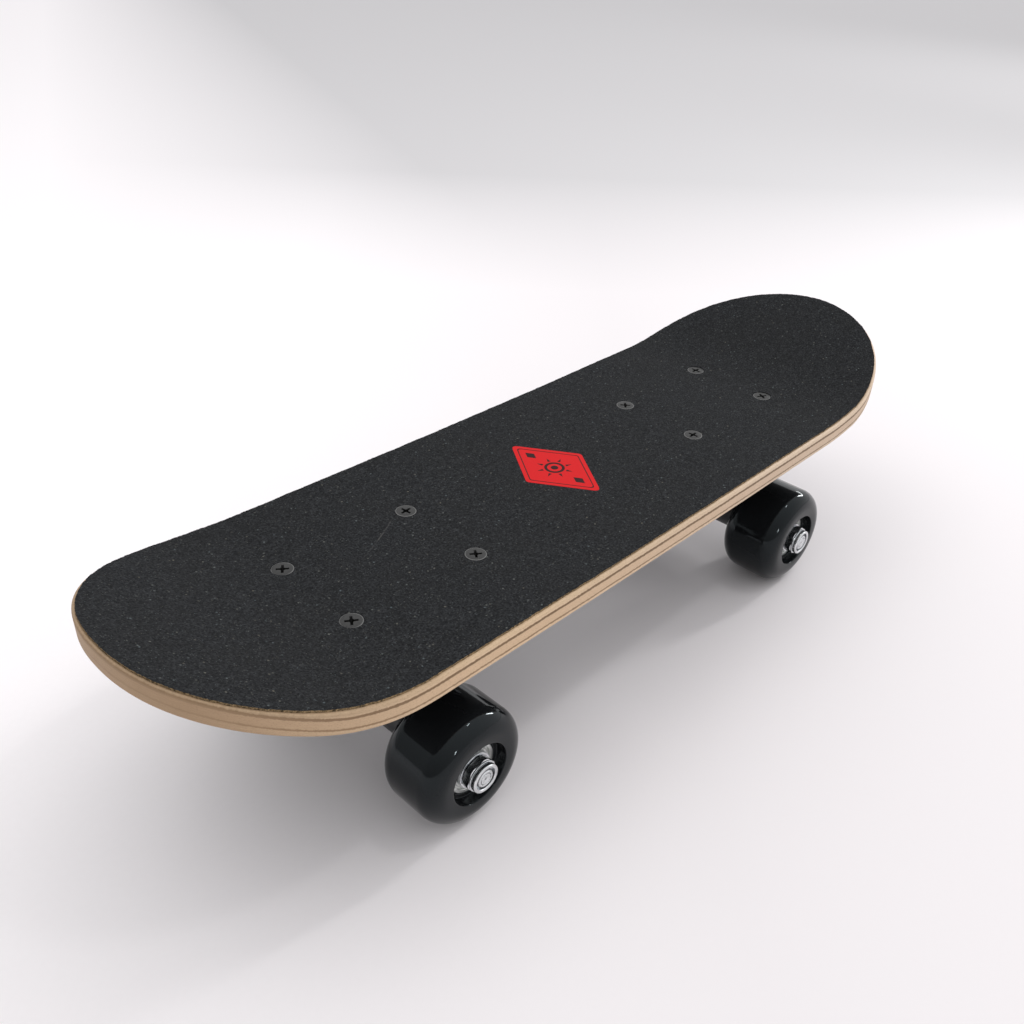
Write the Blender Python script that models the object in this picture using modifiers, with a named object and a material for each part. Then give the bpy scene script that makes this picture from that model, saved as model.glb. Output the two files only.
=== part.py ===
# Mini skateboard: a pressed plywood deck on two sprung trucks and four wheels.
# Origin on the floor under the middle of the deck, +X to the nose, +Y to the rider's left, +Z up.
# Driving dimensions are in millimetres; MM turns them into Blender's metres.
import math

import bmesh
import bpy
import numpy as np
from mathutils import Vector

MM = 0.001
CLEARANCE = 0.3             # between pieces that touch

# Deck
DECK_LENGTH = 431.8
DECK_WIDTH = 127.0
DECK_THICKNESS = 9.5
DECK_EDGE_ROUND = 1.2
GRIP_THICKNESS = 0.7
GRIP_GLUE_GAP = 0.2
GRIP_INSET = 1.3            # the bare wood that shows round the grip tape
RIDE_HEIGHT = 81.0          # floor to the top of the grip tape, at mid-wheelbase
TAIL_OVERHANG = 211.6       # from mid-wheelbase to the tip of the tail
TAIL_CURVE_LENGTH = 79.0    # length of the rounded end of the outline
TAIL_FULLNESS = 2.18        # exponent of the rounded end, where 2 is an ellipse
NOSE_CURVE_LENGTH = 72.8
NOSE_FULLNESS = 1.97
KICK_START = 126.0          # from mid-wheelbase
KICK_BEND_RADIUS = 137.0
TAIL_KICK = math.radians(20.3)
NOSE_KICK = math.radians(18.2)
ROCKER_FLAT = 20.0          # half length of the level middle
ROCKER_END = 62.0           # the deck runs straight from here to the kick
ROCKER_SLOPE = 0.0098       # slope of that straight run
RAIL_FLAT = 28.0            # half width of the level band along the middle
RAIL_LIFT = 1.05            # the edges stand this much higher than that band
RAIL_STRIP = 47.0           # the raised edges are faceted along this line
RAIL_FADE = (10.0, 80.0)    # the lift grows in this far from each tip

# Bolts through the deck
BOLTS_LONG = 60.2
BOLTS_WIDE = 41.3
BOLT_HEAD_RADIUS = 4.35
BOLT_RIM = 0.3
BOLT_RADIUS = 2.45
BOLT_HOLE_RADIUS = 2.9
BOLT_END = 12.6             # below the deck
LOCK_NUT = (8.0, 5.0)       # across flats and height

# Trucks, from the centre of the bolt pattern: X outboard, Z up
TRUCK_SPACING = 204.0
BASE_SIZE = (75.0, 55.0, 5.5)
BASE_CORNER = 9.0
BASE_EDGE = 1.0
AXLE_OUTBOARD = 8.95
STEER_POINT = (-16.0, 0.0, -30.0)   # centre of the hanger's ring on the kingpin
STEER_TILT = math.radians(20.0)     # the steering axis rises outboard by this

# Kingpin stack, heights from the ring's centre along the kingpin
KINGPIN_RADIUS = 3.95
KINGPIN_BORE = 4.3
KINGPIN_HEAD = (23.5, 28.5)
KINGPIN_END = -21.0
KINGPIN_NUT = (13.0, 6.5)           # across flats and height
KINGPIN_NUT_TOP = -12.8
BOSS_SEAT = 16.5
BOSS_RADIUS = 11.8
BOSS_ROOT = ((15.0, 29.0), (14.2, 24.0))   # radius and height where the boss runs into the plate
HEAD_RECESS = (8.3, 36.0)           # radius and top of the recess for the kingpin's head
BOARD_BUSHING = (14.7, 2.8)
ROAD_BUSHING = (-2.8, -11.1)
BUSHING_RADIUS = 10.3
BUSHING_BORE = 4.4
ROAD_TAPER = (2.0, 1.8)             # the road bushing's straight rim, and what its lower end loses
WASHER_LIP = 1.0
WASHER_WALL = 0.8
ROAD_WASHER_RADIUS = 9.8

# Hanger, in the steering frame: X outboard along the steering axis, Z up along the kingpin
RING_RADIUS = 13.0
RING_HALF = 3.5
RING_HOLE = 5.7
SEAT_HALF = 2.5                     # half height of the ring between its bushing seats
SEAT_RADIUS = 11.5
PIVOT_REACH = 40.0                  # ring centre to pivot ball
PIVOT_BALL = 4.5
NOSE_RADIUS = 5.6
WEB_X = (12.8, 22.4)
WEB_HALF = (10.5, 31.0)             # half width of the web at the arm and at the barrel
ARM_X = (8.0, 33.5)
ARM_HALF_WIDTH = (11.0, 6.2)
ARM_HALF_HEIGHT = (3.5, 5.4)
ARM_EDGE = 1.6
BARREL_RADIUS = 8.6
BARREL_END = 34.6
COLLAR_RADIUS = 6.2
NOSE_ROOT = 6.0                     # the pivot nose starts this far inside the arm's end
CUP_RADIUS = 7.4
CUP_BORE = 7.8
CUP_DEPTH = 6.5
CUP_MOUTH = 3.7                     # from the cup's open edge to the ball's centre
CUP_THROAT = 6.0                    # radius of the cup's mouth round the nose
HOUSING_RADIUS = 10.8
HOUSING_MOUTH = 4.2                 # from the housing's open edge to the ball's centre
HOUSING_WALL = 2.0                  # behind the cup
HOUSING_EDGE = 1.2
CHAMFER = 0.7

# Cast on under the plate, in the truck's frame: ends along the plate, then the points below it
PLATE_OVERLAP = 1.0
PIVOT_WEB_TOP = (2.0, 33.0)
PIVOT_WEB_LOWER = ((31.0, -14.0), (24.0, -21.0), (18.5, -19.5), (10.0, -11.0), (2.0, -9.0))
PIVOT_WEB_HALF = 5.0
RIB_TOP = (-32.0, 6.0)
RIB_LOWER = ((6.0, -9.0), (-10.0, -10.5), (-27.0, -10.5))
RIB_PLACE = 8.0                     # each side of the centre plane
RIB_HALF = 1.5
PAST = 10.0                         # a tool runs this far past what it cuts

# Wheels and their hardware
HUB_HALF_TRACK = 50.6       # board's centre plane to the middle of a wheel
WHEEL_RADIUS = 24.63        # to the flats of its facets
WHEEL_WIDTH = 30.4
WHEEL_SHOULDER = 8.1
WHEEL_STEPS = 24
RECESS_RADIUS = 13.3
RECESS_DEPTH = 4.5
BEARING_RADIUS = 10.95
BEARING_SEAT = 11.15
BEARING_WIDTH = 7.0
BEARING_PROUD = 0.2         # the bearing's face stands this far out of its seat
BEARING_BORE = 4.05
INNER_RING_RADIUS = 6.0
OUTER_RING_RADIUS = 9.2
SHIELD_DEPTH = 0.5
SHIELD_SLOPE = 1.0
HUB_BORE = 8.5
AXLE_RADIUS = 3.95
AXLE_OVERRUN = 2.9          # the axle's end stands this far out of the wheel's face
AXLE_NUT = (13.0, 6.0)      # across flats and height
AXLE_NUT_BORE = 4.25
NUT_FACE_RADIUS = 6.1       # the nut's corners are turned off round this face
NUT_FACE_SLOPE = 0.75       # fall of the turned-off corners for each mm outward
AXLE_WASHER = (7.6, 1.2)    # radius and thickness

# Facets round a full turn
NUT_STEPS = 8
HOLE_STEPS = 12
BEARING_STEPS = 14
ROUND_STEPS = 16
BEND_STEPS = 4              # strips across each kick's bend
OUTLINE_STEPS = 9           # points on each quarter of the rounded ends

NOSE_OVERHANG = DECK_LENGTH - TAIL_OVERHANG
MID_WHEELBASE = (TAIL_OVERHANG - NOSE_OVERHANG) / 2
WOOD_TOP = RIDE_HEIGHT - GRIP_THICKNESS - GRIP_GLUE_GAP
UNDERSIDE = WOOD_TOP - DECK_THICKNESS
BOARD_TOP = RIDE_HEIGHT - UNDERSIDE
BEARING_FACE = WHEEL_WIDTH / 2 - RECESS_DEPTH
TRUCK_TILT = math.atan(ROCKER_SLOPE)

# Rotations that lay a turned shape's or an outline's own Z along another axis
Z_TO_Y = (math.radians(-90.0), 0.0, 0.0)
Z_TO_X = (0.0, math.radians(90.0), 0.0)
Z_TO_MINUS_X = (0.0, math.radians(-90.0), 0.0)
ACROSS = (math.radians(90.0), 0.0, 0.0)
FACING_X = (math.radians(90.0), 0.0, math.radians(90.0))


# Scene, materials and placing

def clear_scene():
    for item in list(bpy.data.objects):
        bpy.data.objects.remove(item, do_unlink=True)


def new_collection(name):
    collection = bpy.data.collections.new(name)
    bpy.context.scene.collection.children.link(collection)
    return collection


def material(name, colour, roughness, metallic=0.0):
    surface = bpy.data.materials.new(name)
    surface.use_nodes = True
    shader = surface.node_tree.nodes["Principled BSDF"]
    shader.inputs["Base Color"].default_value = (*colour, 1.0)
    shader.inputs["Roughness"].default_value = roughness
    shader.inputs["Metallic"].default_value = metallic
    return surface


clear_scene()
PARTS = new_collection("mini_skateboard")
TOOLS = new_collection("cutters")
WOOD = material("pressed_plywood", (0.55, 0.38, 0.24), 0.6)
GRIP = material("abrasive_grip", (0.028, 0.03, 0.031), 0.9)
BOLT_STEEL = material("blackened_steel", (0.09, 0.09, 0.095), 0.4, 0.8)
TRUCK = material("black_truck_casting", (0.012, 0.012, 0.013), 0.45)
WHEEL = material("black_wheel_plastic", (0.014, 0.015, 0.016), 0.15)
BEARING = material("bearing_steel", (0.6, 0.61, 0.6), 0.2, 1.0)
ZINC = material("zinc_plated_steel", (0.72, 0.73, 0.74), 0.28, 1.0)
BUSHING = material("black_urethane", (0.02, 0.02, 0.02), 0.5)
RUBBER = material("pivot_rubber", (0.01, 0.01, 0.01), 0.7)


def add_empty(name, parent, location, rotation=(0.0, 0.0, 0.0)):
    empty = bpy.data.objects.new(name, None)
    PARTS.objects.link(empty)
    empty.parent = parent
    empty.location = Vector(location) * MM
    empty.rotation_euler = rotation
    return empty


def add_piece(name, mesh, surface=None, parent=None, location=(0.0, 0.0, 0.0), rotation=(0.0, 0.0, 0.0)):
    # A piece with no surface is a tool: it cuts a piece or is joined to one
    piece = bpy.data.objects.new(name, mesh)
    piece.parent = parent
    piece.location = Vector(location) * MM
    piece.rotation_euler = rotation
    if surface is None:
        TOOLS.objects.link(piece)
        piece.hide_render = True
        piece.display_type = "WIRE"
        return piece
    PARTS.objects.link(piece)
    if not mesh.materials:
        mesh.materials.append(surface)
    return piece


def add_booleans(piece, tools, operation):
    for tool in tools:
        boolean = piece.modifiers.new(tool.name, "BOOLEAN")
        boolean.operation = operation
        boolean.solver = "EXACT"
        boolean.object = tool


def add_bevel(piece, width, segments):
    bevel = piece.modifiers.new("edge", "BEVEL")
    bevel.width = width * MM
    bevel.segments = segments
    bevel.angle_limit = math.radians(50.0)


# Shapes

def profile_mesh(name, points, closed=False):
    # Points are (radius, height), down the outer side from top to bottom
    mesh = bpy.data.meshes.new(name)
    edges = [(i, i + 1) for i in range(len(points) - 1)]
    if closed:
        edges.append((len(points) - 1, 0))
    mesh.from_pydata([(radius * MM, 0.0, height * MM) for radius, height in points], edges, [])
    return mesh


def turn(piece, steps):
    screw = piece.modifiers.new("turned", "SCREW")
    screw.steps = steps
    screw.render_steps = steps
    screw.use_merge_vertices = True
    screw.merge_threshold = 0.00001


def disc_points(radius, top, bottom, chamfer=0.0):
    # A solid turned shape from the axis out, down the side and back to the axis
    if chamfer:
        return [(0.0, top), (radius - chamfer, top), (radius, top - chamfer), (radius, bottom + chamfer),
                (radius - chamfer, bottom), (0.0, bottom)]
    return [(0.0, top), (radius, top), (radius, bottom), (0.0, bottom)]


def tube_points(outer, inner, top, bottom):
    return [(outer, top), (outer, bottom), (inner, bottom), (inner, top)]


def arc(centre, radius, start, end, steps):
    # Angles in degrees from the first axis
    angles = [math.radians(start + (end - start) * i / steps) for i in range(steps + 1)]
    return [(centre[0] + radius * math.cos(angle), centre[1] + radius * math.sin(angle)) for angle in angles]


def turned_tool(name, points, steps, parent, location=(0.0, 0.0, 0.0), rotation=(0.0, 0.0, 0.0)):
    tool = add_piece(name, profile_mesh(name, points), None, parent, location, rotation)
    turn(tool, steps)
    return tool


def extruded_mesh(name, outline, bottom, top):
    # A flat outline in X and Y, filled and raised between two heights
    curve = bpy.data.curves.new(name, "CURVE")
    curve.dimensions = "2D"
    curve.fill_mode = "BOTH"
    curve.extrude = (top - bottom) / 2 * MM
    spline = curve.splines.new("POLY")
    spline.points.add(len(outline) - 1)
    for point, (x, y) in zip(spline.points, outline):
        point.co = (x * MM, y * MM, 0.0, 1.0)
    spline.use_cyclic_u = True
    guide = bpy.data.objects.new(name, curve)
    TOOLS.objects.link(guide)
    evaluated = guide.evaluated_get(bpy.context.evaluated_depsgraph_get())
    mesh = bpy.data.meshes.new_from_object(evaluated)
    bpy.data.objects.remove(guide, do_unlink=True)
    form = bmesh.new()
    form.from_mesh(mesh)
    bmesh.ops.remove_doubles(form, verts=form.verts, dist=0.01 * MM)
    bmesh.ops.translate(form, verts=form.verts, vec=(0.0, 0.0, (top + bottom) / 2 * MM))
    bmesh.ops.recalc_face_normals(form, faces=form.faces)
    form.to_mesh(mesh)
    form.free()
    mesh.name = name
    return mesh


def extruded_tool(name, outline, bottom, top, parent, rotation=(0.0, 0.0, 0.0)):
    return add_piece(name, extruded_mesh(name, outline, bottom, top), None, parent, rotation=rotation)


def hexagon(flats):
    corner = flats / 2 / math.cos(math.pi / 6)
    return [(corner * math.cos(i * math.pi / 3), corner * math.sin(i * math.pi / 3)) for i in range(6)]


def rounded_rectangle(length, width, corner, steps=3):
    points = []
    for quarter, (sx, sy) in enumerate([(1, 1), (-1, 1), (-1, -1), (1, -1)]):
        centre = (sx * (length / 2 - corner), sy * (width / 2 - corner))
        points += arc(centre, corner, 90.0 * quarter, 90.0 * quarter + 90.0, steps)
    return points


# Deck and grip tape

def deck_rise(x):
    # Height of the middle line above its level centre, at x from mid-wheelbase
    along = abs(x)
    curved = min(max(along - ROCKER_FLAT, 0.0), ROCKER_END - ROCKER_FLAT)
    rocker = ROCKER_SLOPE * curved ** 2 / 2 / (ROCKER_END - ROCKER_FLAT)
    straight = ROCKER_SLOPE * max(along - ROCKER_END, 0.0)
    kick = TAIL_KICK if x < 0 else NOSE_KICK
    past = max(along - KICK_START, 0.0)
    bend = min(past, KICK_BEND_RADIUS * math.sin(kick))
    bent = KICK_BEND_RADIUS - math.sqrt(KICK_BEND_RADIUS ** 2 - bend ** 2)
    return rocker + straight + bent + (past - bend) * math.tan(kick)


def rail_fade(x):
    from_tip = (TAIL_OVERHANG + x) if x < 0 else (NOSE_OVERHANG - x)
    start, end = RAIL_FADE
    share = min(max((from_tip - start) / (end - start), 0.0), 1.0)
    return share * share * (3.0 - 2.0 * share)


def rail_share(y):
    return (max(y - RAIL_FLAT, 0.0) / (DECK_WIDTH / 2 - RAIL_FLAT)) ** 2


def end_curve(overhang, curve_length, fullness, half_width):
    # Quarter of a superellipse, from the tip to where the straight side starts
    points = []
    for i in range(OUTLINE_STEPS + 1):
        angle = math.pi / 2 * i / OUTLINE_STEPS
        along = max(math.cos(angle), 0.0) ** (2 / fullness)
        across = math.sin(angle) ** (2 / fullness)
        points.append((overhang - curve_length + curve_length * along, half_width * across))
    return points


def board_outline(inset):
    # Round from the nose's tip along the left side, back along the right; x is from mid-wheelbase
    half = DECK_WIDTH / 2 - inset
    nose = end_curve(NOSE_OVERHANG - inset, NOSE_CURVE_LENGTH - inset, NOSE_FULLNESS, half)
    tail = end_curve(TAIL_OVERHANG - inset, TAIL_CURVE_LENGTH - inset, TAIL_FULLNESS, half)
    left = nose + [(-x, y) for x, y in tail[::-1]]
    return left + [(x, -y) for x, y in left[-2:0:-1]]


def half_stations(overhang, kick):
    # Where one half's length is faceted, from the middle to the tip
    bend = KICK_BEND_RADIUS * math.sin(kick) / BEND_STEPS
    bends = [KICK_START + i * bend for i in range(BEND_STEPS + 1)]
    fade_end = overhang - RAIL_FADE[0]
    return [ROCKER_FLAT, (ROCKER_FLAT + ROCKER_END) / 2, ROCKER_END, *bends, (bends[-1] + fade_end) / 2,
            fade_end, overhang]


def board_height(x, y, stations, rails):
    # Height on the facets, so that the wood and the grip tape lie close along each strip
    rise = np.interp(x, stations, [deck_rise(station) for station in stations])
    fade = np.interp(x, stations, [rail_fade(station) for station in stations])
    return rise + RAIL_LIFT * fade * np.interp(abs(y), rails, [rail_share(rail) for rail in rails])


def board_mesh(name, inset, thickness):
    # The outline is cut into strips, bent, and carried straight down, so that its rim is upright all round
    tail_stations = [-x for x in half_stations(TAIL_OVERHANG, TAIL_KICK)]
    stations = tail_stations[::-1] + half_stations(NOSE_OVERHANG, NOSE_KICK)
    rails = [RAIL_FLAT, RAIL_STRIP, DECK_WIDTH / 2]
    cuts = [((x, 0.0, 0.0), (1.0, 0.0, 0.0)) for x in stations[1:-1]]
    cuts += [((0.0, side * y, 0.0), (0.0, 1.0, 0.0)) for y in rails[:-1] for side in (1, -1)]
    form = bmesh.new()
    form.faces.new([form.verts.new((x * MM, y * MM, 0.0)) for x, y in board_outline(inset)])
    for point, normal in cuts:
        everything = form.verts[:] + form.edges[:] + form.faces[:]
        bmesh.ops.bisect_plane(form, geom=everything, dist=0.02 * MM, plane_co=Vector(point) * MM,
                               plane_no=normal)
    for vertex in form.verts:
        vertex.co.z = board_height(vertex.co.x / MM, vertex.co.y / MM, stations, rails) * MM
    carried = bmesh.ops.extrude_face_region(form, geom=form.faces[:], use_keep_orig=True)
    lower = [item for item in carried["geom"] if isinstance(item, bmesh.types.BMVert)]
    bmesh.ops.translate(form, verts=lower, vec=(0.0, 0.0, -thickness * MM))
    bmesh.ops.recalc_face_normals(form, faces=form.faces)
    mesh = bpy.data.meshes.new(name)
    form.to_mesh(mesh)
    form.free()
    return mesh


def add_board_layer(name, inset, top, thickness, surface):
    return add_piece(name, board_mesh(name, inset, thickness), surface, None, (MID_WHEELBASE, 0.0, top))


# Bolts through the deck

def bolt_places():
    return [(sx * BOLTS_LONG / 2, sy * BOLTS_WIDE / 2) for sx in (1, -1) for sy in (1, -1)]


def bolt_points():
    slope = BOLT_HEAD_RADIUS - BOLT_RADIUS
    end = -BOLT_END - BOARD_TOP
    return [(0.0, 0.0), (BOLT_HEAD_RADIUS, 0.0), (BOLT_HEAD_RADIUS, -BOLT_RIM),
            (BOLT_RADIUS, -BOLT_RIM - slope), (BOLT_RADIUS, end + CHAMFER), (BOLT_RADIUS - CHAMFER, end),
            (0.0, end)]


def countersinks(end, truck):
    # Holes for the bolts and their heads, through the grip tape and the deck
    rim = BOLT_HEAD_RADIUS + CLEARANCE
    points = [(0.0, CLEARANCE * 10), (rim, CLEARANCE * 10), (rim, -BOLT_RIM),
              (BOLT_HOLE_RADIUS, -BOLT_RIM - rim + BOLT_HOLE_RADIUS), (BOLT_HOLE_RADIUS, -BOARD_TOP * 1.5),
              (0.0, -BOARD_TOP * 1.5)]
    return [turned_tool(f"{end}_countersink_{number}", points, HOLE_STEPS, truck, (x, y, BOARD_TOP))
            for number, (x, y) in enumerate(bolt_places(), start=1)]


def add_bolts(end, truck, meshes):
    for number, (x, y) in enumerate(bolt_places(), start=1):
        bolt = add_piece(f"{end}_bolt_{number}", meshes["bolt"], BOLT_STEEL, truck, (x, y, BOARD_TOP))
        turn(bolt, HOLE_STEPS)
        nut_low = -BASE_SIZE[2] - 2 * CLEARANCE - LOCK_NUT[1]
        add_piece(f"{end}_lock_nut_{number}", meshes["lock_nut"], ZINC, truck, (x, y, nut_low))


# Trucks

def truck_frame(end, side):
    # The bolt pattern's centre on the deck's underside; side is -1 for the tail, 1 for the nose
    half = TRUCK_SPACING / 2
    turned_round = 0.0 if side > 0 else math.pi
    return add_empty(end + "_truck", None, (MID_WHEELBASE + side * half, 0.0, UNDERSIDE + deck_rise(half)),
                     (0.0, -TRUCK_TILT, turned_round))


def axle_place():
    # The axle's centre in the steering frame, so that the wheels just meet the floor
    under = UNDERSIDE + deck_rise(TRUCK_SPACING / 2)
    drop = (under + AXLE_OUTBOARD * math.sin(TRUCK_TILT) - WHEEL_RADIUS) / math.cos(TRUCK_TILT)
    dx = AXLE_OUTBOARD - STEER_POINT[0]
    dz = -drop - STEER_POINT[2]
    cosine, sine = math.cos(STEER_TILT), math.sin(STEER_TILT)
    return dx * cosine + dz * sine, 0.0, dz * cosine - dx * sine


AXLE = axle_place()


def baseplate_bodies(end, truck, steer, lower):
    # What is cast on under the plate: kingpin boss, pivot housing, the web between them and two ribs
    inside = lower + PLATE_OVERLAP
    boss = [(0.0, BOSS_ROOT[0][1]), *BOSS_ROOT, (BOSS_RADIUS, BOSS_SEAT + CHAMFER), (BOSS_RADIUS, BOSS_SEAT),
            (0.0, BOSS_SEAT)]
    far = PIVOT_REACH + CUP_DEPTH + HOUSING_WALL
    housing = disc_points(HOUSING_RADIUS, far, PIVOT_REACH - HOUSING_MOUTH, HOUSING_EDGE)
    web = [*((x, inside) for x in PIVOT_WEB_TOP), *PIVOT_WEB_LOWER]
    rib = [*((x, inside) for x in RIB_TOP), *RIB_LOWER]
    bodies = [turned_tool(end + "_kingpin_boss", boss, ROUND_STEPS, steer),
              turned_tool(end + "_pivot_housing", housing, ROUND_STEPS, steer, rotation=Z_TO_X),
              extruded_tool(end + "_pivot_web", web, -PIVOT_WEB_HALF, PIVOT_WEB_HALF, truck, ACROSS)]
    for name, y in (("_rib_left", -RIB_PLACE), ("_rib_right", RIB_PLACE)):
        bodies.append(extruded_tool(end + name, rib, y - RIB_HALF, y + RIB_HALF, truck, ACROSS))
    return bodies


def baseplate_cuts(end, truck, steer, outline):
    head_seat = KINGPIN_HEAD[0] - CLEARANCE
    kingpin_hole = disc_points(KINGPIN_BORE, head_seat + PAST, BOSS_SEAT - PAST)
    recess = disc_points(HEAD_RECESS[0], HEAD_RECESS[1], head_seat)
    bore = disc_points(CUP_BORE, PIVOT_REACH + CUP_DEPTH + CLEARANCE, PIVOT_REACH - PAST)
    cuts = [turned_tool(end + "_kingpin_hole", kingpin_hole, HOLE_STEPS, steer),
            turned_tool(end + "_head_recess", recess, ROUND_STEPS, steer),
            turned_tool(end + "_cup_bore", bore, ROUND_STEPS, steer, rotation=Z_TO_X)]
    hole = disc_points(BOLT_HOLE_RADIUS, PAST, -BASE_SIZE[2] - PAST)
    for number, (x, y) in enumerate(bolt_places(), start=1):
        cuts.append(turned_tool(f"{end}_bolt_hole_{number}", hole, HOLE_STEPS, truck, (x, y, 0.0)))
    wide = [(2 * x, 2 * y) for x, y in outline]
    cuts.append(extruded_tool(end + "_deck_side", wide, -CLEARANCE, 3 * PAST, truck))
    return cuts


def add_baseplate(end, truck, steer):
    # Plate, kingpin boss and pivot housing in one casting, trimmed flat against the deck
    lower = -CLEARANCE - BASE_SIZE[2]
    outline = rounded_rectangle(BASE_SIZE[0], BASE_SIZE[1], BASE_CORNER)
    mesh = extruded_mesh(end + "_baseplate", outline, lower, BASE_SIZE[2])
    plate = add_piece(end + "_baseplate", mesh, TRUCK, truck)
    add_bevel(plate, BASE_EDGE, 1)
    add_booleans(plate, baseplate_bodies(end, truck, steer, lower), "UNION")
    add_booleans(plate, baseplate_cuts(end, truck, steer, outline), "DIFFERENCE")


def barrel_points():
    # The axle's barrel with a collar towards each wheel
    collar_end = HUB_HALF_TRACK - BEARING_FACE - CLEARANCE
    half = [(0.0, collar_end), (COLLAR_RADIUS, collar_end), (COLLAR_RADIUS, BARREL_END),
            (BARREL_RADIUS - CHAMFER, BARREL_END), (BARREL_RADIUS, BARREL_END - CHAMFER)]
    return half + [(radius, -height) for radius, height in half[::-1]]


def web_outline(steps=4):
    # Sweeps out from the arm to the barrel; the outline's axes are the board's Y and the height
    narrow, wide = WEB_HALF
    top, bottom = RING_HALF - 0.5, AXLE[2]
    right = []
    for i in range(steps + 1):
        share = i / steps
        right.append((narrow + (wide - narrow) * share ** 1.8, top + (bottom - top) * share))
    return right + [(-y, z) for y, z in right[::-1]]


def arm_mesh(name):
    # A box that tapers from the ring to the pivot nose
    form = bmesh.new()
    bmesh.ops.create_cube(form, size=1.0)
    for vertex in form.verts:
        end = 1 if vertex.co.x > 0 else 0
        y = math.copysign(ARM_HALF_WIDTH[end], vertex.co.y)
        z = math.copysign(ARM_HALF_HEIGHT[end], vertex.co.z)
        vertex.co = Vector((ARM_X[end], y, z)) * MM
    bmesh.ops.bevel(form, geom=form.edges[:], offset=ARM_EDGE * MM, segments=1, affect="EDGES", profile=0.5)
    mesh = bpy.data.meshes.new(name)
    form.to_mesh(mesh)
    form.free()
    return mesh


def add_hanger(end, steer):
    name = end + "_hanger"
    hanger = add_piece(name, profile_mesh(name, barrel_points()), TRUCK, steer, AXLE, Z_TO_Y)
    turn(hanger, ROUND_STEPS)
    ball = arc((0.0, PIVOT_REACH), PIVOT_BALL, 90.0, 0.0, 3)
    root = ARM_X[1] - NOSE_ROOT
    nose = [(0.0, ball[0][1]), *ball[1:], (NOSE_RADIUS - CHAMFER, PIVOT_REACH - CUP_MOUTH),
            (NOSE_RADIUS, root + NOSE_ROOT / 2), (NOSE_RADIUS, root), (0.0, root)]
    ring = disc_points(RING_RADIUS, RING_HALF, -RING_HALF)
    joined = [extruded_tool(name + "_web", web_outline(), *WEB_X, steer, FACING_X),
              add_piece(name + "_arm", arm_mesh(name + "_arm"), None, steer),
              turned_tool(name + "_nose", nose, HOLE_STEPS, steer, rotation=Z_TO_X),
              turned_tool(name + "_ring", ring, ROUND_STEPS, steer)]
    far = SEAT_HALF + PAST
    axle_hole = disc_points(AXLE_RADIUS + CLEARANCE, HUB_HALF_TRACK, -HUB_HALF_TRACK)
    cuts = [turned_tool(end + "_board_seat", disc_points(SEAT_RADIUS, far, SEAT_HALF), ROUND_STEPS, steer),
            turned_tool(end + "_road_seat", disc_points(SEAT_RADIUS, -SEAT_HALF, -far), ROUND_STEPS, steer),
            turned_tool(end + "_ring_hole", disc_points(RING_HOLE, far, -far), HOLE_STEPS, steer),
            turned_tool(end + "_axle_hole", axle_hole, HOLE_STEPS, steer, AXLE, Z_TO_Y)]
    add_booleans(hanger, joined, "UNION")
    add_booleans(hanger, cuts, "DIFFERENCE")


def bushing_points():
    # Barrel-shaped on the board's side, conical on the road's side
    high, low = BOARD_BUSHING
    swell = (high - low) / 3
    board = [(BUSHING_RADIUS - CHAMFER, high), (BUSHING_RADIUS + CLEARANCE, high - swell),
             (BUSHING_RADIUS + CLEARANCE, low + swell), (BUSHING_RADIUS - CHAMFER, low), (BUSHING_BORE, low),
             (BUSHING_BORE, high)]
    high, low = ROAD_BUSHING
    rim, loss = ROAD_TAPER
    road = [(BUSHING_RADIUS, high), (BUSHING_RADIUS, high - rim), (BUSHING_RADIUS - loss, low),
            (BUSHING_BORE, low), (BUSHING_BORE, high)]
    return board, road


def cup_washer_points():
    # Flat washers with a lip round the end of each bushing
    seat = BOARD_BUSHING[0] + CLEARANCE
    top = BOSS_SEAT - CLEARANCE
    outer = BOSS_RADIUS
    inner = outer - WASHER_WALL
    board = [(outer, top), (outer, seat - WASHER_LIP), (inner, seat - WASHER_LIP), (inner, seat),
             (KINGPIN_BORE, seat), (KINGPIN_BORE, top)]
    seat = ROAD_BUSHING[1] - CLEARANCE
    bottom = KINGPIN_NUT_TOP + CLEARANCE
    outer = ROAD_WASHER_RADIUS
    inner = outer - WASHER_WALL
    road = [(outer, seat + WASHER_LIP), (outer, bottom), (KINGPIN_BORE, bottom), (KINGPIN_BORE, seat),
            (inner, seat), (inner, seat + WASHER_LIP)]
    return board, road


def add_kingpin_stack(end, steer, meshes):
    inside_head = sum(KINGPIN_HEAD) / 2
    shank = [(0.0, inside_head), (KINGPIN_RADIUS, inside_head), (KINGPIN_RADIUS, KINGPIN_END + CHAMFER),
             (KINGPIN_RADIUS - CHAMFER, KINGPIN_END), (0.0, KINGPIN_END)]
    kingpin = add_piece(end + "_kingpin", profile_mesh(end + "_kingpin", shank), ZINC, steer)
    turn(kingpin, HOLE_STEPS)
    head = extruded_tool(end + "_kingpin_head", hexagon(KINGPIN_NUT[0]), *KINGPIN_HEAD, steer)
    add_booleans(kingpin, [head], "UNION")
    for place in ("board", "road"):
        bushing = add_piece(f"{end}_bushing_{place}", meshes["bushing_" + place], BUSHING, steer)
        turn(bushing, ROUND_STEPS)
        washer = add_piece(f"{end}_cup_washer_{place}", meshes["cup_washer_" + place], ZINC, steer)
        turn(washer, HOLE_STEPS)
    add_piece(end + "_kingpin_nut", meshes["kingpin_nut"], ZINC, steer,
              (0.0, 0.0, KINGPIN_NUT_TOP - KINGPIN_NUT[1]), (0.0, 0.0, math.pi / 6))


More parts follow.
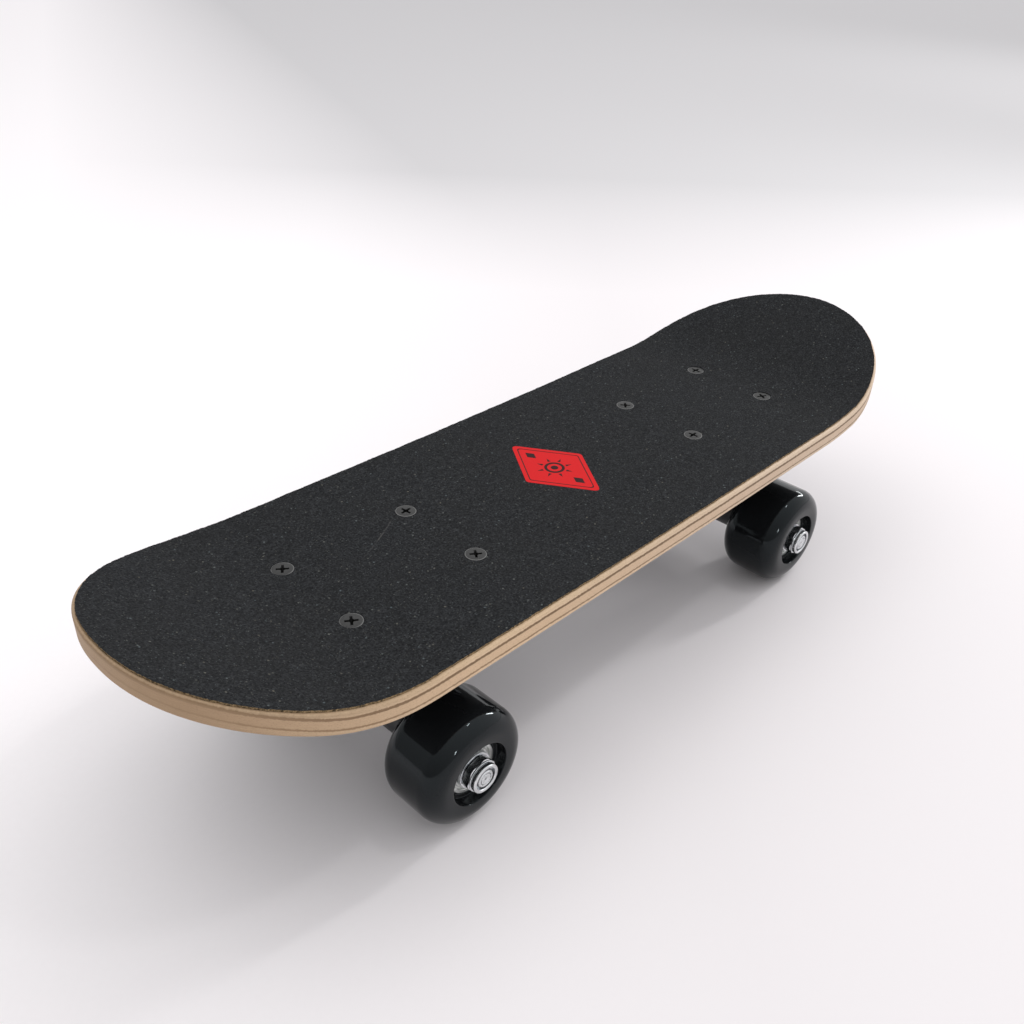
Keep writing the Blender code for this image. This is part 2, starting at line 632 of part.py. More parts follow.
def add_pivot_cup(end, steer):
    # A rubber thimble round the pivot ball; in its profile the mouth faces up
    mouth = CUP_MOUTH - PIVOT_REACH
    bottom = -PIVOT_REACH - CUP_DEPTH
    ball = arc((0.0, -PIVOT_REACH), PIVOT_BALL + CLEARANCE, -90.0, 0.0, 3)
    points = [(CUP_RADIUS, mouth), (CUP_RADIUS, bottom), (0.0, bottom)]
    inner = [(0.0, ball[0][1]), *ball[1:], (CUP_THROAT, mouth)]
    cup = add_piece(end + "_pivot_cup", profile_mesh(end + "_pivot_cup", inner + points), RUBBER, steer,
                    rotation=Z_TO_MINUS_X)
    turn(cup, HOLE_STEPS)


# Axles, wheels and bearings

def add_axle(end, steer):
    half = HUB_HALF_TRACK + WHEEL_WIDTH / 2 + AXLE_OVERRUN
    mesh = profile_mesh(end + "_axle", disc_points(AXLE_RADIUS, half, -half, CHAMFER))
    turn(add_piece(end + "_axle", mesh, ZINC, steer, AXLE, Z_TO_Y), HOLE_STEPS)


def wheel_points():
    half = WHEEL_WIDTH / 2
    radius = WHEEL_RADIUS / math.cos(math.pi / WHEEL_STEPS)
    ledge = BEARING_FACE - BEARING_WIDTH - CLEARANCE
    shoulder = arc((radius - WHEEL_SHOULDER, half - WHEEL_SHOULDER), WHEEL_SHOULDER, 90.0, 0.0, 4)
    floor = BEARING_FACE - BEARING_PROUD
    upper = [(HUB_BORE, ledge), (BEARING_SEAT, ledge), (BEARING_SEAT, floor), (RECESS_RADIUS - CLEARANCE, floor),
             (RECESS_RADIUS, half), *shoulder]
    return upper + [(radius, -height) for radius, height in upper[::-1]]


def bearing_points():
    # The shallow groove in its outward face is the shield between the two rings
    half = BEARING_WIDTH / 2
    return [(BEARING_RADIUS, half), (BEARING_RADIUS, -half), (BEARING_BORE, -half), (BEARING_BORE, half),
            (INNER_RING_RADIUS, half), (INNER_RING_RADIUS + SHIELD_SLOPE, half - SHIELD_DEPTH),
            (OUTER_RING_RADIUS, half)]


def add_wheel(end, hand, way, steer, meshes):
    # Way is 1 on the truck's own left and -1 on its right
    outward = (math.radians(-90.0 * way), 0.0, 0.0)
    inward = (math.radians(90.0 * way), 0.0, 0.0)
    # Levelled, and turned by half a facet, so that the wheel rests on the flat of one
    level = (0.0, STEER_TILT + TRUCK_TILT + math.pi / WHEEL_STEPS, 0.0)
    hub = add_empty(f"{end}_hub_{hand}", steer, (AXLE[0], way * HUB_HALF_TRACK, AXLE[2]), level)
    turn(add_piece(f"{end}_wheel_{hand}", meshes["wheel"], WHEEL, hub, rotation=outward), WHEEL_STEPS)
    middle = way * (BEARING_FACE - BEARING_WIDTH / 2)
    for place, rotation, y in (("outer", outward, middle), ("inner", inward, -middle)):
        name = f"{end}_bearing_{hand}_{place}"
        turn(add_piece(name, meshes["bearing"], BEARING, hub, (0.0, y, 0.0), rotation), BEARING_STEPS)
    face = HUB_HALF_TRACK + BEARING_FACE + CLEARANCE
    washer = add_piece(f"{end}_axle_washer_{hand}", meshes["axle_washer"], ZINC, steer,
                       (AXLE[0], way * face, AXLE[2]), outward)
    turn(washer, HOLE_STEPS)
    seat = face + AXLE_WASHER[1] + CLEARANCE
    add_piece(f"{end}_axle_nut_{hand}", meshes["axle_nut"], ZINC, steer,
              (AXLE[0], way * seat, AXLE[2]), outward)


# Meshes that several pieces share

def nut_mesh(name, flats, height, bore_radius, bore_steps, crowned=False):
    # A hexagon with a round bore; a crowned nut has the corners of its upper face turned off
    nut = add_piece(name + "_blank", extruded_mesh(name + "_blank", hexagon(flats), 0.0, height))
    bore = turned_tool(name + "_bore", disc_points(bore_radius, 2 * height, -height), bore_steps, None)
    add_booleans(nut, [bore], "DIFFERENCE")
    tools = [nut, bore]
    if crowned:
        side = NUT_FACE_RADIUS + PAST
        cone = [(0.0, height), (NUT_FACE_RADIUS, height), (side, height - PAST * NUT_FACE_SLOPE), (side, -PAST),
                (0.0, -PAST)]
        crown = turned_tool(name + "_crown", cone, HOLE_STEPS, None)
        add_booleans(nut, [crown], "INTERSECT")
        tools.append(crown)
    mesh = bpy.data.meshes.new_from_object(nut.evaluated_get(bpy.context.evaluated_depsgraph_get()))
    mesh.name = name
    mesh.materials.clear()
    for tool in tools:
        bpy.data.objects.remove(tool, do_unlink=True)
    return mesh


def shared_meshes():
    washer_radius, washer_thickness = AXLE_WASHER
    washer = tube_points(washer_radius, AXLE_NUT_BORE, washer_thickness, 0.0)
    board_bushing, road_bushing = bushing_points()
    board_washer, road_washer = cup_washer_points()
    return {
        "wheel": profile_mesh("wheel", wheel_points(), True),
        "bearing": profile_mesh("bearing", bearing_points(), True),
        "bolt": profile_mesh("bolt", bolt_points()),
        "axle_washer": profile_mesh("axle_washer", washer, True),
        "bushing_board": profile_mesh("bushing_board", board_bushing, True),
        "bushing_road": profile_mesh("bushing_road", road_bushing, True),
        "cup_washer_board": profile_mesh("cup_washer_board", board_washer, True),
        "cup_washer_road": profile_mesh("cup_washer_road", road_washer, True),
        "axle_nut": nut_mesh("axle_nut", *AXLE_NUT, AXLE_NUT_BORE, HOLE_STEPS, crowned=True),
        "kingpin_nut": nut_mesh("kingpin_nut", *KINGPIN_NUT, KINGPIN_BORE, HOLE_STEPS),
        "lock_nut": nut_mesh("lock_nut", *LOCK_NUT, BOLT_HOLE_RADIUS, NUT_STEPS),
    }


def build():
    meshes = shared_meshes()
    deck = add_board_layer("deck", 0.0, WOOD_TOP, DECK_THICKNESS, WOOD)
    add_bevel(deck, DECK_EDGE_ROUND, 2)
    grip = add_board_layer("grip_tape", GRIP_INSET, RIDE_HEIGHT, GRIP_THICKNESS, GRIP)
    for end, side in (("tail", -1), ("nose", 1)):
        truck = truck_frame(end, side)
        steer = add_empty(end + "_steer", truck, STEER_POINT, (0.0, -STEER_TILT, 0.0))
        holes = countersinks(end, truck)
        add_booleans(deck, holes, "DIFFERENCE")
        add_booleans(grip, holes, "DIFFERENCE")
        add_bolts(end, truck, meshes)
        add_baseplate(end, truck, steer)
        add_kingpin_stack(end, steer, meshes)
        add_pivot_cup(end, steer)
        add_hanger(end, steer)
        add_axle(end, steer)
        # The tail truck is turned round, so its own left is the board's right
        for way in (1, -1):
            add_wheel(end, "left" if way == side else "right", way, steer, meshes)


build()
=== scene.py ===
import math

import bmesh
import bpy
import numpy as np
from mathutils import Euler, Matrix, Vector


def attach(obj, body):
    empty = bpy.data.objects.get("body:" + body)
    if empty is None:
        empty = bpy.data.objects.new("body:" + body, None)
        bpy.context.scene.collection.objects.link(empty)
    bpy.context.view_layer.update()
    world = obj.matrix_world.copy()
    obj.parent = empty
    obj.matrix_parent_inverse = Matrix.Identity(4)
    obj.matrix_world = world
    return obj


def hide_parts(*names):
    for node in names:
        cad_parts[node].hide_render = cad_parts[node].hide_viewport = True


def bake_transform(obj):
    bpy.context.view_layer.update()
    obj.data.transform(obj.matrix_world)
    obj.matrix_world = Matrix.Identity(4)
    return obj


MM = 0.001

# Camera, sky and lamps, in metres and degrees
CAMERA_PLACE = (-0.2944, -0.24146, 0.30284)
CAMERA_TURN = (56.9587, -2.1418, -45.7287)
CAMERA_LENS = 34.657
SKY_LEVEL = 0.7
SKY_LEAN = (0.37, 0.14, 0.36)  # how much stronger the sky is towards +X, +Y and +Z
# Each lamp's place, size and power; all face the origin
LAMPS = {
    "overhead": ((-0.5, 0.6, 1.5), (0.8, 0.8), 2.2),
    "window": ((2.2, 0.1, 0.85), (1.0, 0.08), 4.0),
    "tube": ((1.05, -0.2, 0.55), (0.07, 0.3), 2.8),
    "high": ((0.27, -0.36, 1.12), (0.12, 0.04), 0.7),
    "low": ((-0.26, -1.13, 0.3), (0.04, 0.12), 0.6),
}

# Floor: places in metres, along axes turned to the camera's heading
FLOOR_REACH = 6.0
PAPER = ((0.965, 0.932, 0.943), (0.935, 0.902, 0.913))
PAPER_SHADE = (0.765, 0.732, 0.743)
SHADE_EDGE = (-0.22, 0.06)  # where painted shade begins to darken the paper towards the right, and where it is full
BACK_TURN = 45.73
BACK_SHADE_COLOUR = (0.625, 0.612, 0.622)
BACK_EDGE = (0.44, 0.82)  # where the painted grey shade begins and is full, towards the back
LEFT_EDGE = (0.21, -0.24)  # the painted grey shade fades out at its left, further out the further back
LEFT_SLANT = 0.4

# Deck and grip tape
DECK_WIDTH = 127.0
DECK_THICKNESS = 9.5
DECK_EDGE_ROUND = 1.2
GRIP_SHEET = 0.88  # reaches down to the wood
GRIP_INSET = 1.3
GRIP_RAGGED = 0.2  # how far its sanded edge wanders
RIDE_HEIGHT = 81.0
WOOD_TOP = 80.1
UNDERSIDE = 70.6
MID_WHEELBASE = -4.3
TAIL_OVERHANG = 211.6
TAIL_CURVE_LENGTH = 79.0
TAIL_FULLNESS = 2.18
NOSE_OVERHANG = 220.2
NOSE_CURVE_LENGTH = 72.8
NOSE_FULLNESS = 1.97
KICK_START = 126.0
KICK_BEND_RADIUS = 137.0
TAIL_KICK = math.radians(20.3)
NOSE_KICK = math.radians(18.2)
ROCKER_FLAT = 20.0
ROCKER_END = 62.0
ROCKER_SLOPE = 0.0098
RAIL_FLAT = 28.0
RAIL_LIFT = 1.05
RAIL_FADE = (10.0, 80.0)
DECK_STEPS = (90, 120)  # points of the board's mesh along a quarter of an end, and along a side
GRIP_STEPS = (260, 640)
MIDDLE_INSETS = (61.5, 55.0, 44.0, 30.0, 16.0)  # rings of the mesh inside the rim
SCRATCH = ((-84.5, 19.4), (-111.5, 5.3))  # its two ends

# Badge printed on the grip tape
BADGE_CENTRE = (-4.33, 3.3)
BADGE_HALF = (18.2, 27.0)
BADGE_CORNER = 2.4
BADGE_LIFT = 0.05
MOTIF_TOP = BADGE_LIFT + 0.02
MOTIF_CORNER = 1.6
FRAME_SHARES = (0.88, 0.85)  # the thin frame's two edges, as shares of the badge
SUN_RADII = (4.6, 3.3, 1.7)  # the ring's two edges, and the middle
SUN_RAY = (5.6, 8.4, 0.75)  # where a ray starts and ends, and half its width
DIAMOND = (14.6, 2.2, 3.4)  # distance from the middle, half width and half height

# Bolts
BOLTS_LONG = 60.2
BOLTS_WIDE = 41.3
BOLT_HEAD_RADIUS = 4.35
BOLT_RIM = 0.3
BOLT_RADIUS = 2.45
BOLT_HOLE_RADIUS = 2.9
BOLT_END = 12.6
BOLT_THREAD = (0.8, 0.32)  # pitch and depth
BOARD_TOP = RIDE_HEIGHT - UNDERSIDE
LOCK_NUT = (8.0, 3.7)  # across flats, and height
LOCK_COLLAR = (3.5, 1.3, 0.6)  # radius, height and wall
CROSS_TURNS = {"tail": (57.0, 54.0, 54.0, 6.0), "nose": (-3.0, 60.0, 42.0, 3.0)}

# Trucks
TRUCK_SPACING = 204.0
TRUCK_TILT = math.atan(ROCKER_SLOPE)
BASE_SIZE = (75.0, 55.0, 5.5)
BASE_CORNER = 9.0
BASE_GAP = 0.3
STEER_POINT = (-16.0, 0.0, -30.0)
STEER_TILT = math.radians(20.0)
AXLE_OUTBOARD = 8.95
KINGPIN_RADIUS = 3.95
KINGPIN_BORE = 4.3
KINGPIN_HEAD = (23.5, 28.5)
KINGPIN_END = -21.0
KINGPIN_THREAD = (1.25, 0.5)
KINGPIN_NUT = (13.0, 6.5)
KINGPIN_NUT_TOP = -12.8
BOSS_SEAT = 16.5
BOSS_RADIUS = 11.8
BOSS_FOOT = (15.0, 29.0)  # radius and height, as for the shoulder
BOSS_SHOULDER = (14.2, 24.0)
HEAD_RECESS = 8.3
BASE_WEB_HALF = 5.0
RIB_Y = 8.0
RIB_HALF = 1.5
BOARD_BUSHING = (14.7, 2.8)
ROAD_BUSHING = (-2.8, -11.1)
BUSHING_RADIUS = 10.3
BUSHING_BORE = 5.0  # clears the kingpin when the bushing is squeezed
BUSHING_GRIP = 1.5  # how far in from each end the two held points lie
WASHER_LIP = 1.0
WASHER_WALL = 0.8
RING_RADIUS = 13.0
RING_HALF = 3.5
RING_HOLE = 5.7
SEAT_HALF = 2.5
SEAT_RADIUS = 11.5
PIVOT_REACH = 40.0
PIVOT_BALL = 4.5
NOSE_RADIUS = 5.6
WEB_X = (12.8, 22.4)
WEB_HALF = (10.5, 31.0)
ARM_X = (8.0, 33.5)
ARM_HALF_WIDTH = (11.0, 6.2)
ARM_HALF_HEIGHT = (3.5, 5.4)
ARM_BEVEL = 1.8
BARREL_RADIUS = 8.6
BARREL_END = 34.6
BARREL_ROUND = 0.7
COLLAR_RADIUS = 6.2
CUP_RADIUS = 7.4
CUP_BORE = 7.8
CUP_DEPTH = 6.5
HOUSING_RADIUS = 10.8
CAST_VOXEL = 0.55
CAST_SMOOTHING = 7

# Wheels
HUB_HALF_TRACK = 50.6
WHEEL_RADIUS = 24.63
WHEEL_WIDTH = 30.4
WHEEL_SHOULDER = 8.1
RECESS_RADIUS = 13.3
RECESS_DEPTH = 4.5
BEARING_FACE = WHEEL_WIDTH / 2 - RECESS_DEPTH
BEARING_RADIUS = 10.95
BEARING_SEAT = 11.15
BEARING_WIDTH = 7.0
BEARING_BORE = 4.05
INNER_RING_RADIUS = 6.0
OUTER_RING_RADIUS = 9.2
HUB_BORE = 8.5
AXLE_RADIUS = 3.95
AXLE_OVERRUN = 2.9
AXLE_END = HUB_HALF_TRACK + WHEEL_WIDTH / 2 + AXLE_OVERRUN
AXLE_THREAD = (1.25, 0.45)
AXLE_NUT = (13.0, 3.3)
AXLE_NUT_CORNER = 6.95
AXLE_COLLAR = (6.15, 2.4, 1.5)
AXLE_FLANGE = (0.45, 0.5, 0.35)  # how far it stands out under the collar, its height, and the groove's depth
AXLE_NUT_BORE = 4.25
NUT_TURN = math.radians(12.0)
AXLE_WASHER = (7.6, 1.2)
SEAT_GAP = 0.3
ROUND_STEPS = 96  # points round the larger turned pieces
THREAD_STEPS = 48

ENDS = (("tail", -1), ("nose", 1))
# The slots of the surfaces that aren't called the same
# Filled by build()
SURFACES = {}
MESHES = {}

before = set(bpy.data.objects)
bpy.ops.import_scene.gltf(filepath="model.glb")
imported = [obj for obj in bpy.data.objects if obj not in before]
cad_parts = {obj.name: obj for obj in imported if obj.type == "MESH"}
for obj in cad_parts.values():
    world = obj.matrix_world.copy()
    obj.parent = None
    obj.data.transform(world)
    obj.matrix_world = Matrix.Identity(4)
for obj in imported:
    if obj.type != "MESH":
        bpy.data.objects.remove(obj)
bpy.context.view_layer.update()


# Mesh helpers

def add_object(name, data):
    item = bpy.data.objects.new(name, data)
    bpy.context.scene.collection.objects.link(item)
    return item


def place(x, y, z, turn=(0.0, 0.0, 0.0)):
    # A place in millimetres and a turn in radians
    return Matrix.Translation(Vector((x, y, z)) * MM) @ Euler(turn).to_matrix().to_4x4()


IDENTITY = Matrix.Identity(4)
QUARTER = math.pi / 2
Z_TO_X = place(0, 0, 0, (0.0, QUARTER, 0.0))
Z_TO_MINUS_X = place(0, 0, 0, (0.0, -QUARTER, 0.0))
Z_TO_Y = place(0, 0, 0, (-QUARTER, 0.0, 0.0))
FACING_Y = place(0, 0, 0, (QUARTER, 0.0, 0.0))
FACING_X = place(0, 0, 0, (QUARTER, 0.0, QUARTER))


def smoothed(mesh, sharp):
    # Smooth but for edges sharper than the angle
    mesh.shade_smooth()
    mesh.set_sharp_from_angle(angle=math.radians(sharp))
    return mesh


def mesh_from(form, name, sharp=32.0):
    bmesh.ops.recalc_face_normals(form, faces=form.faces)
    mesh = bpy.data.meshes.new(name)
    form.to_mesh(mesh)
    form.free()
    return smoothed(mesh, sharp)


def softened(points, radius, steps=3, closed=False):
    # Rounds the corners of a profile; the ends of an open one stay
    made = []
    for i, point in enumerate(points):
        here = np.array(point, float)
        if not closed and i in (0, len(points) - 1):
            made.append(tuple(here))
            continue
        back = np.array(points[i - 1], float) - here
        ahead = np.array(points[(i + 1) % len(points)], float) - here
        lengths = np.linalg.norm(back), np.linalg.norm(ahead)
        back, ahead = back / lengths[0], ahead / lengths[1]
        half = math.acos(min(max(float(back @ ahead), -1.0), 1.0)) / 2
        if half > math.radians(84.0):
            made.append(tuple(here))
            continue
        cut = min(radius / math.tan(half), 0.45 * lengths[0], 0.45 * lengths[1])
        start, end = here + back * cut, here + ahead * cut
        for k in range(steps + 1):
            t = k / steps
            made.append(tuple((1 - t) ** 2 * start + 2 * t * (1 - t) * here + t ** 2 * end))
    return made


def ring_mesh(name, rings, closed=False, sharp=32.0):
    # Rings of points joined with quads; a ring of one point is a pole
    form = bmesh.new()
    loops = [[form.verts.new(point) for point in ring] for ring in rings]
    steps = max(len(loop) for loop in loops)
    pairs = list(zip(loops, loops[1:]))
    if closed:
        pairs.append((loops[-1], loops[0]))
    for upper, lower in pairs:
        for i in range(steps):
            j = (i + 1) % steps
            corners = [upper[i % len(upper)], lower[i % len(lower)], lower[j % len(lower)],
                       upper[j % len(upper)]]
            corners = list(dict.fromkeys(corners))
            if len(corners) > 2:
                form.faces.new(corners)
    return mesh_from(form, name, sharp)


def turned(points, steps):
    # A ring about Z for each (radius, height), or one point on the axis
    turns = [2 * math.pi * i / steps for i in range(steps)]
    return [[(r * math.cos(a) * MM, r * math.sin(a) * MM, z * MM) for a in (turns if r > 0 else turns[:1])]
            for r, z in points]


def lathe(name, points, steps=64, closed=False, sharp=32.0):
    return ring_mesh(name, turned(points, steps), closed, sharp)


def disc(radius, top, bottom, chamfer=0.0):
    if chamfer:
        return [(0.0, top), (radius - chamfer, top), (radius, top - chamfer), (radius, bottom + chamfer),
                (radius - chamfer, bottom), (0.0, bottom)]
    return [(0.0, top), (radius, top), (radius, bottom), (0.0, bottom)]


def both_sides(points):
    # A profile's upper half, and its mirror image
    return points + [(radius, -height) for radius, height in points[::-1]]


def arc(centre, radius, start, end, steps):
    turns = [math.radians(start + (end - start) * i / steps) for i in range(steps + 1)]
    return [(centre[0] + radius * math.cos(a), centre[1] + radius * math.sin(a)) for a in turns]


def sided(form, loops):
    # Quads between each pair of outlines with the same number of corners, and a face on the first and last
    form.faces.new(loops[0])
    form.faces.new(loops[-1])
    for upper, lower in zip(loops, loops[1:]):
        for i in range(len(upper)):
            j = (i + 1) % len(upper)
            form.faces.new((upper[i], upper[j], lower[j], lower[i]))


def prism(name, outline, bottom, top):
    form = bmesh.new()
    sided(form, [[form.verts.new((x * MM, y * MM, z * MM)) for x, y in outline] for z in (bottom, top)])
    return mesh_from(form, name)


def joined(name, parts):
    # One mesh of several, each with its matrix
    form = bmesh.new()
    for mesh, matrix in parts:
        placed = mesh.copy()
        placed.transform(matrix)
        form.from_mesh(placed)
    return mesh_from(form, name)


def modified(name, mesh, modifiers):
    # The mesh as a list of (kind, settings) leaves it
    item = add_object(name, mesh)
    for kind, settings in modifiers:
        modifier = item.modifiers.new(kind, kind)
        for key, value in settings.items():
            setattr(modifier, key, value)
    made = bpy.data.meshes.new_from_object(item.evaluated_get(bpy.context.evaluated_depsgraph_get()))
    bpy.data.objects.remove(item, do_unlink=True)
    made.name = name
    return made


def carved(name, mesh, tools, sharp=32.0):
    # The mesh less each (tool mesh, matrix)
    items = []
    for tool, matrix in tools:
        items.append(add_object(name + "_tool", tool))
        items[-1].matrix_world = matrix
    made = modified(name, mesh, [("BOOLEAN", {"operation": "DIFFERENCE", "solver": "EXACT", "object": item})
                                 for item in items])
    for item in items:
        bpy.data.objects.remove(item, do_unlink=True)
    return smoothed(made, sharp)


def add_piece(name, mesh, surfaces, body, nodes, matrix=IDENTITY):
    # A body of (one, another, start, end) leaves the piece unattached, its place baked into its mesh
    piece = add_object(name, mesh)
    if not mesh.materials:
        for surface in surfaces:
            mesh.materials.append(SURFACES[surface])
    piece.matrix_world = matrix
    if isinstance(body, tuple):
        piece.data = mesh.copy()
        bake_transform(piece)
    else:
        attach(piece, body)
    if nodes:
        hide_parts(*nodes)


def dress(node, part, mesh, surface, body, matrix):
    # One of the shared meshes in place of one node
    add_piece(f"{node}_{part}", MESHES[mesh], [surface], body, [node], matrix)


# Material helpers

class Nodes:
    """Adds nodes to a tree; a value may be a number, a colour or a socket."""

    def __init__(self, tree):
        self.tree = tree

    def put(self, target, value):
        if isinstance(value, bpy.types.NodeSocket):
            self.tree.links.new(value, target)
        elif target.type == "RGBA" and len(value) == 3:
            target.default_value = (*value, 1.0)
        else:
            target.default_value = value

    def add(self, kind, inputs=None, **settings):
        node = self.tree.nodes.new(kind)
        for key, value in settings.items():
            setattr(node, key, value)
        for socket, value in (inputs or {}).items():
            self.put(node.inputs[socket], value)
        return node

    def maths(self, operation, *values):
        return self.add("ShaderNodeMath", dict(enumerate(values)), operation=operation).outputs[0]

    def product(self, *values):
        made = values[0]
        for value in values[1:]:
            made = self.maths("MULTIPLY", made, value)
        return made

    def span(self, value, low, high, start=0.0, end=1.0):
        inputs = {"Value": value, "From Min": low, "From Max": high, "To Min": start, "To Max": end}
        return self.add("ShaderNodeMapRange", inputs).outputs["Result"]

    def axes(self, vector):
        return self.add("ShaderNodeSeparateXYZ", {"Vector": vector}).outputs

    def scaled(self, vector, scale):
        return self.add("ShaderNodeMapping", {"Vector": vector, "Scale": scale}).outputs["Vector"]

    def coordinates(self, scale=(1.0, 1.0, 1.0)):
        return self.scaled(self.add("ShaderNodeTexCoord").outputs["Object"], scale)

    def noise(self, vector, scale, detail=3.0, roughness=0.5):
        inputs = {"Vector": vector, "Scale": scale, "Detail": detail, "Roughness": roughness}
        return self.add("ShaderNodeTexNoise", inputs).outputs["Fac"]

    def mix(self, share, first, second, blend="MIX"):
        node = self.add("ShaderNodeMix", {"Factor": share}, data_type="RGBA", blend_type=blend)
        for target, value in zip([s for s in node.inputs if s.type == "RGBA"], (first, second)):
            self.put(target, value)
        return [s for s in node.outputs if s.type == "RGBA"][0]


class Finish(Nodes):
    """A material round one Principled BSDF."""

    def __init__(self, name, **sockets):
        self.surface = bpy.data.materials.new(name)
        self.surface.use_nodes = True
        super().__init__(self.surface.node_tree)
        self.give(**sockets)

    def give(self, **sockets):
        for socket, value in sockets.items():
            self.put(self.tree.nodes["Principled BSDF"].inputs[socket.replace("_", " ")], value)

    def bumped(self, height, strength, distance):
        inputs = {"Height": height, "Strength": strength, "Distance": distance}
        self.give(Normal=self.add("ShaderNodeBump", inputs).outputs["Normal"])
        return self.surface


# Materials

def ply_colour(f, level):
    # Five plies down through the board, at a depth from 0 to 1
    ramp = f.add("ShaderNodeValToRGB", {"Fac": level})
    light, rosy = (0.76, 0.56, 0.37, 1), (0.7, 0.5, 0.325, 1)
    dark, brown = (0.17, 0.1, 0.048, 1), (0.27, 0.17, 0.09, 1)
    elements = ramp.color_ramp.elements
    elements[0].color = light
    elements[1].color = rosy
    for position, colour in ((0.195, light), (0.225, dark), (0.32, dark), (0.35, rosy), (0.695, rosy),
                             (0.72, brown), (0.775, brown), (0.8, light), (0.95, light)):
        elements.new(position).color = colour
    return ramp.outputs["Color"]


def ply_edge_finish():
    # Seen on edge: U runs along the board's rim and V is the depth below its top, in metres
    f = Finish("ply_edge", Roughness=0.6, Specular_IOR_Level=0.35)
    uv = f.add("ShaderNodeUVMap", uv_map="rim").outputs["UV"]
    depth = f.axes(uv)["Y"]
    slow = f.noise(f.scaled(uv, (40.0, 120.0, 1.0)), 1.0)
    rough = f.noise(f.scaled(uv, (760.0, 600.0, 1.0)), 1.0, 3.0, 0.65)
    fibre = f.noise(f.scaled(uv, (160.0, 5200.0, 1.0)), 1.0, 4.0)
    pores = f.noise(f.scaled(uv, (1500.0, 3200.0, 1.0)), 1.0, 2.0)
    places = f.add("ShaderNodeTexCoord").outputs
    along = f.axes(places["Object"])["X"]
    ends = f.span(f.maths("ABSOLUTE", f.axes(places["Normal"])["X"]), 0.06, 0.8)
    # The plies' lines wander, and stand a little higher in the pressed ends
    level = f.maths("ADD", depth, f.span(f.maths("ABSOLUTE", along), 0.168, 0.2, 0.0, 0.0015))
    for part, amount in ((slow, 0.0007), (fibre, 0.0004), (rough, 0.0011)):
        level = f.maths("MULTIPLY_ADD", f.maths("SUBTRACT", part, 0.5), amount, level)
    plies = ply_colour(f, f.maths("DIVIDE", level, DECK_THICKNESS * MM))
    streaks = f.mix(f.span(fibre, 0.35, 0.7), (0.42, 0.28, 0.165), (0.29, 0.185, 0.105))
    base = f.mix(f.product(ends, 0.85), plies, streaks)
    # Painted shade: the wood darkens a little towards the tail's end, where less light falls
    base = f.mix(f.span(along, -0.12, -0.15, 0.0, 0.16), base, (0.25, 0.16, 0.08))
    # Painted light: the nose's half is made paler and bluer, as the light from the nose's side and a grazing
    # sheen fall on it
    base = f.mix(f.span(along, -0.08, 0.08), base, (0.97, 1.04, 1.19), "MULTIPLY")
    # The bare strip round the grip tape, browned by sanding, most of all at the tail
    strip = f.product(f.span(along, -0.18, -0.115, 0.85, 0.34), f.span(along, 0.0, 0.06, 1.0, 0.2),
                      f.span(depth, 0.002, -0.0003), f.span(rough, 0.3, 0.6, 0.7, 1.0))
    base = f.mix(strip, base, (0.2, 0.13, 0.07))
    base = f.mix(f.span(fibre, 0.35, 0.75, 0.0, 0.36), base, (0.4, 0.26, 0.15))
    base = f.mix(f.span(pores, 0.54, 0.74, 0.0, 0.55), base, (0.27, 0.175, 0.1))
    f.give(Base_Color=base)
    return f.bumped(f.maths("ADD", fibre, pores), 0.4, 0.00014)


def underside_finish():
    # Black paint through which the veneer's grain still shows, scuffed here and there
    f = Finish("black_deck_paint")
    grain = f.noise(f.coordinates((7.0, 160.0, 1.0)), 1.0, 5.0, 0.6)
    scuffs = f.noise(f.coordinates((30.0, 420.0, 1.0)), 1.0, 3.0, 0.7)
    peel = f.noise(f.coordinates(), 900.0, 2.0)
    base = f.mix(f.span(grain, 0.35, 0.7), (0.009, 0.009, 0.0095), (0.016, 0.016, 0.017))
    f.give(Base_Color=f.mix(f.span(scuffs, 0.66, 0.8, 0.0, 0.5), base, (0.05, 0.05, 0.052)),
           Roughness=f.span(grain, 0.3, 0.7, 0.36, 0.52))
    return f.bumped(f.maths("MULTIPLY_ADD", peel, 0.3, grain), 0.2, 0.00012)


def scratch_mask(f, vector, breakup):
    # The scratch is a slightly bowed line, which the grit breaks up
    (x0, y0), (x1, y1) = SCRATCH
    length = math.hypot(x1 - x0, y1 - y0)
    inputs = {"Vector": vector, "Location": (x0 * MM, y0 * MM, 0.0),
              "Rotation": (0.0, 0.0, math.atan2(y1 - y0, x1 - x0))}
    axes = f.axes(f.add("ShaderNodeMapping", inputs, vector_type="TEXTURE").outputs["Vector"])
    bow = f.product(f.maths("SINE", f.product(axes["X"], math.pi / (length * MM))), 0.0006)
    line = f.span(f.maths("ABSOLUTE", f.maths("SUBTRACT", axes["Y"], bow)), 0.00045, 0.0001)
    ends = f.product(f.span(axes["X"], -0.001, 0.002), f.span(axes["X"], length * MM, (length - 12.0) * MM))
    return f.product(line, ends, f.span(breakup, 0.42, 0.62, 0.05, 0.42))


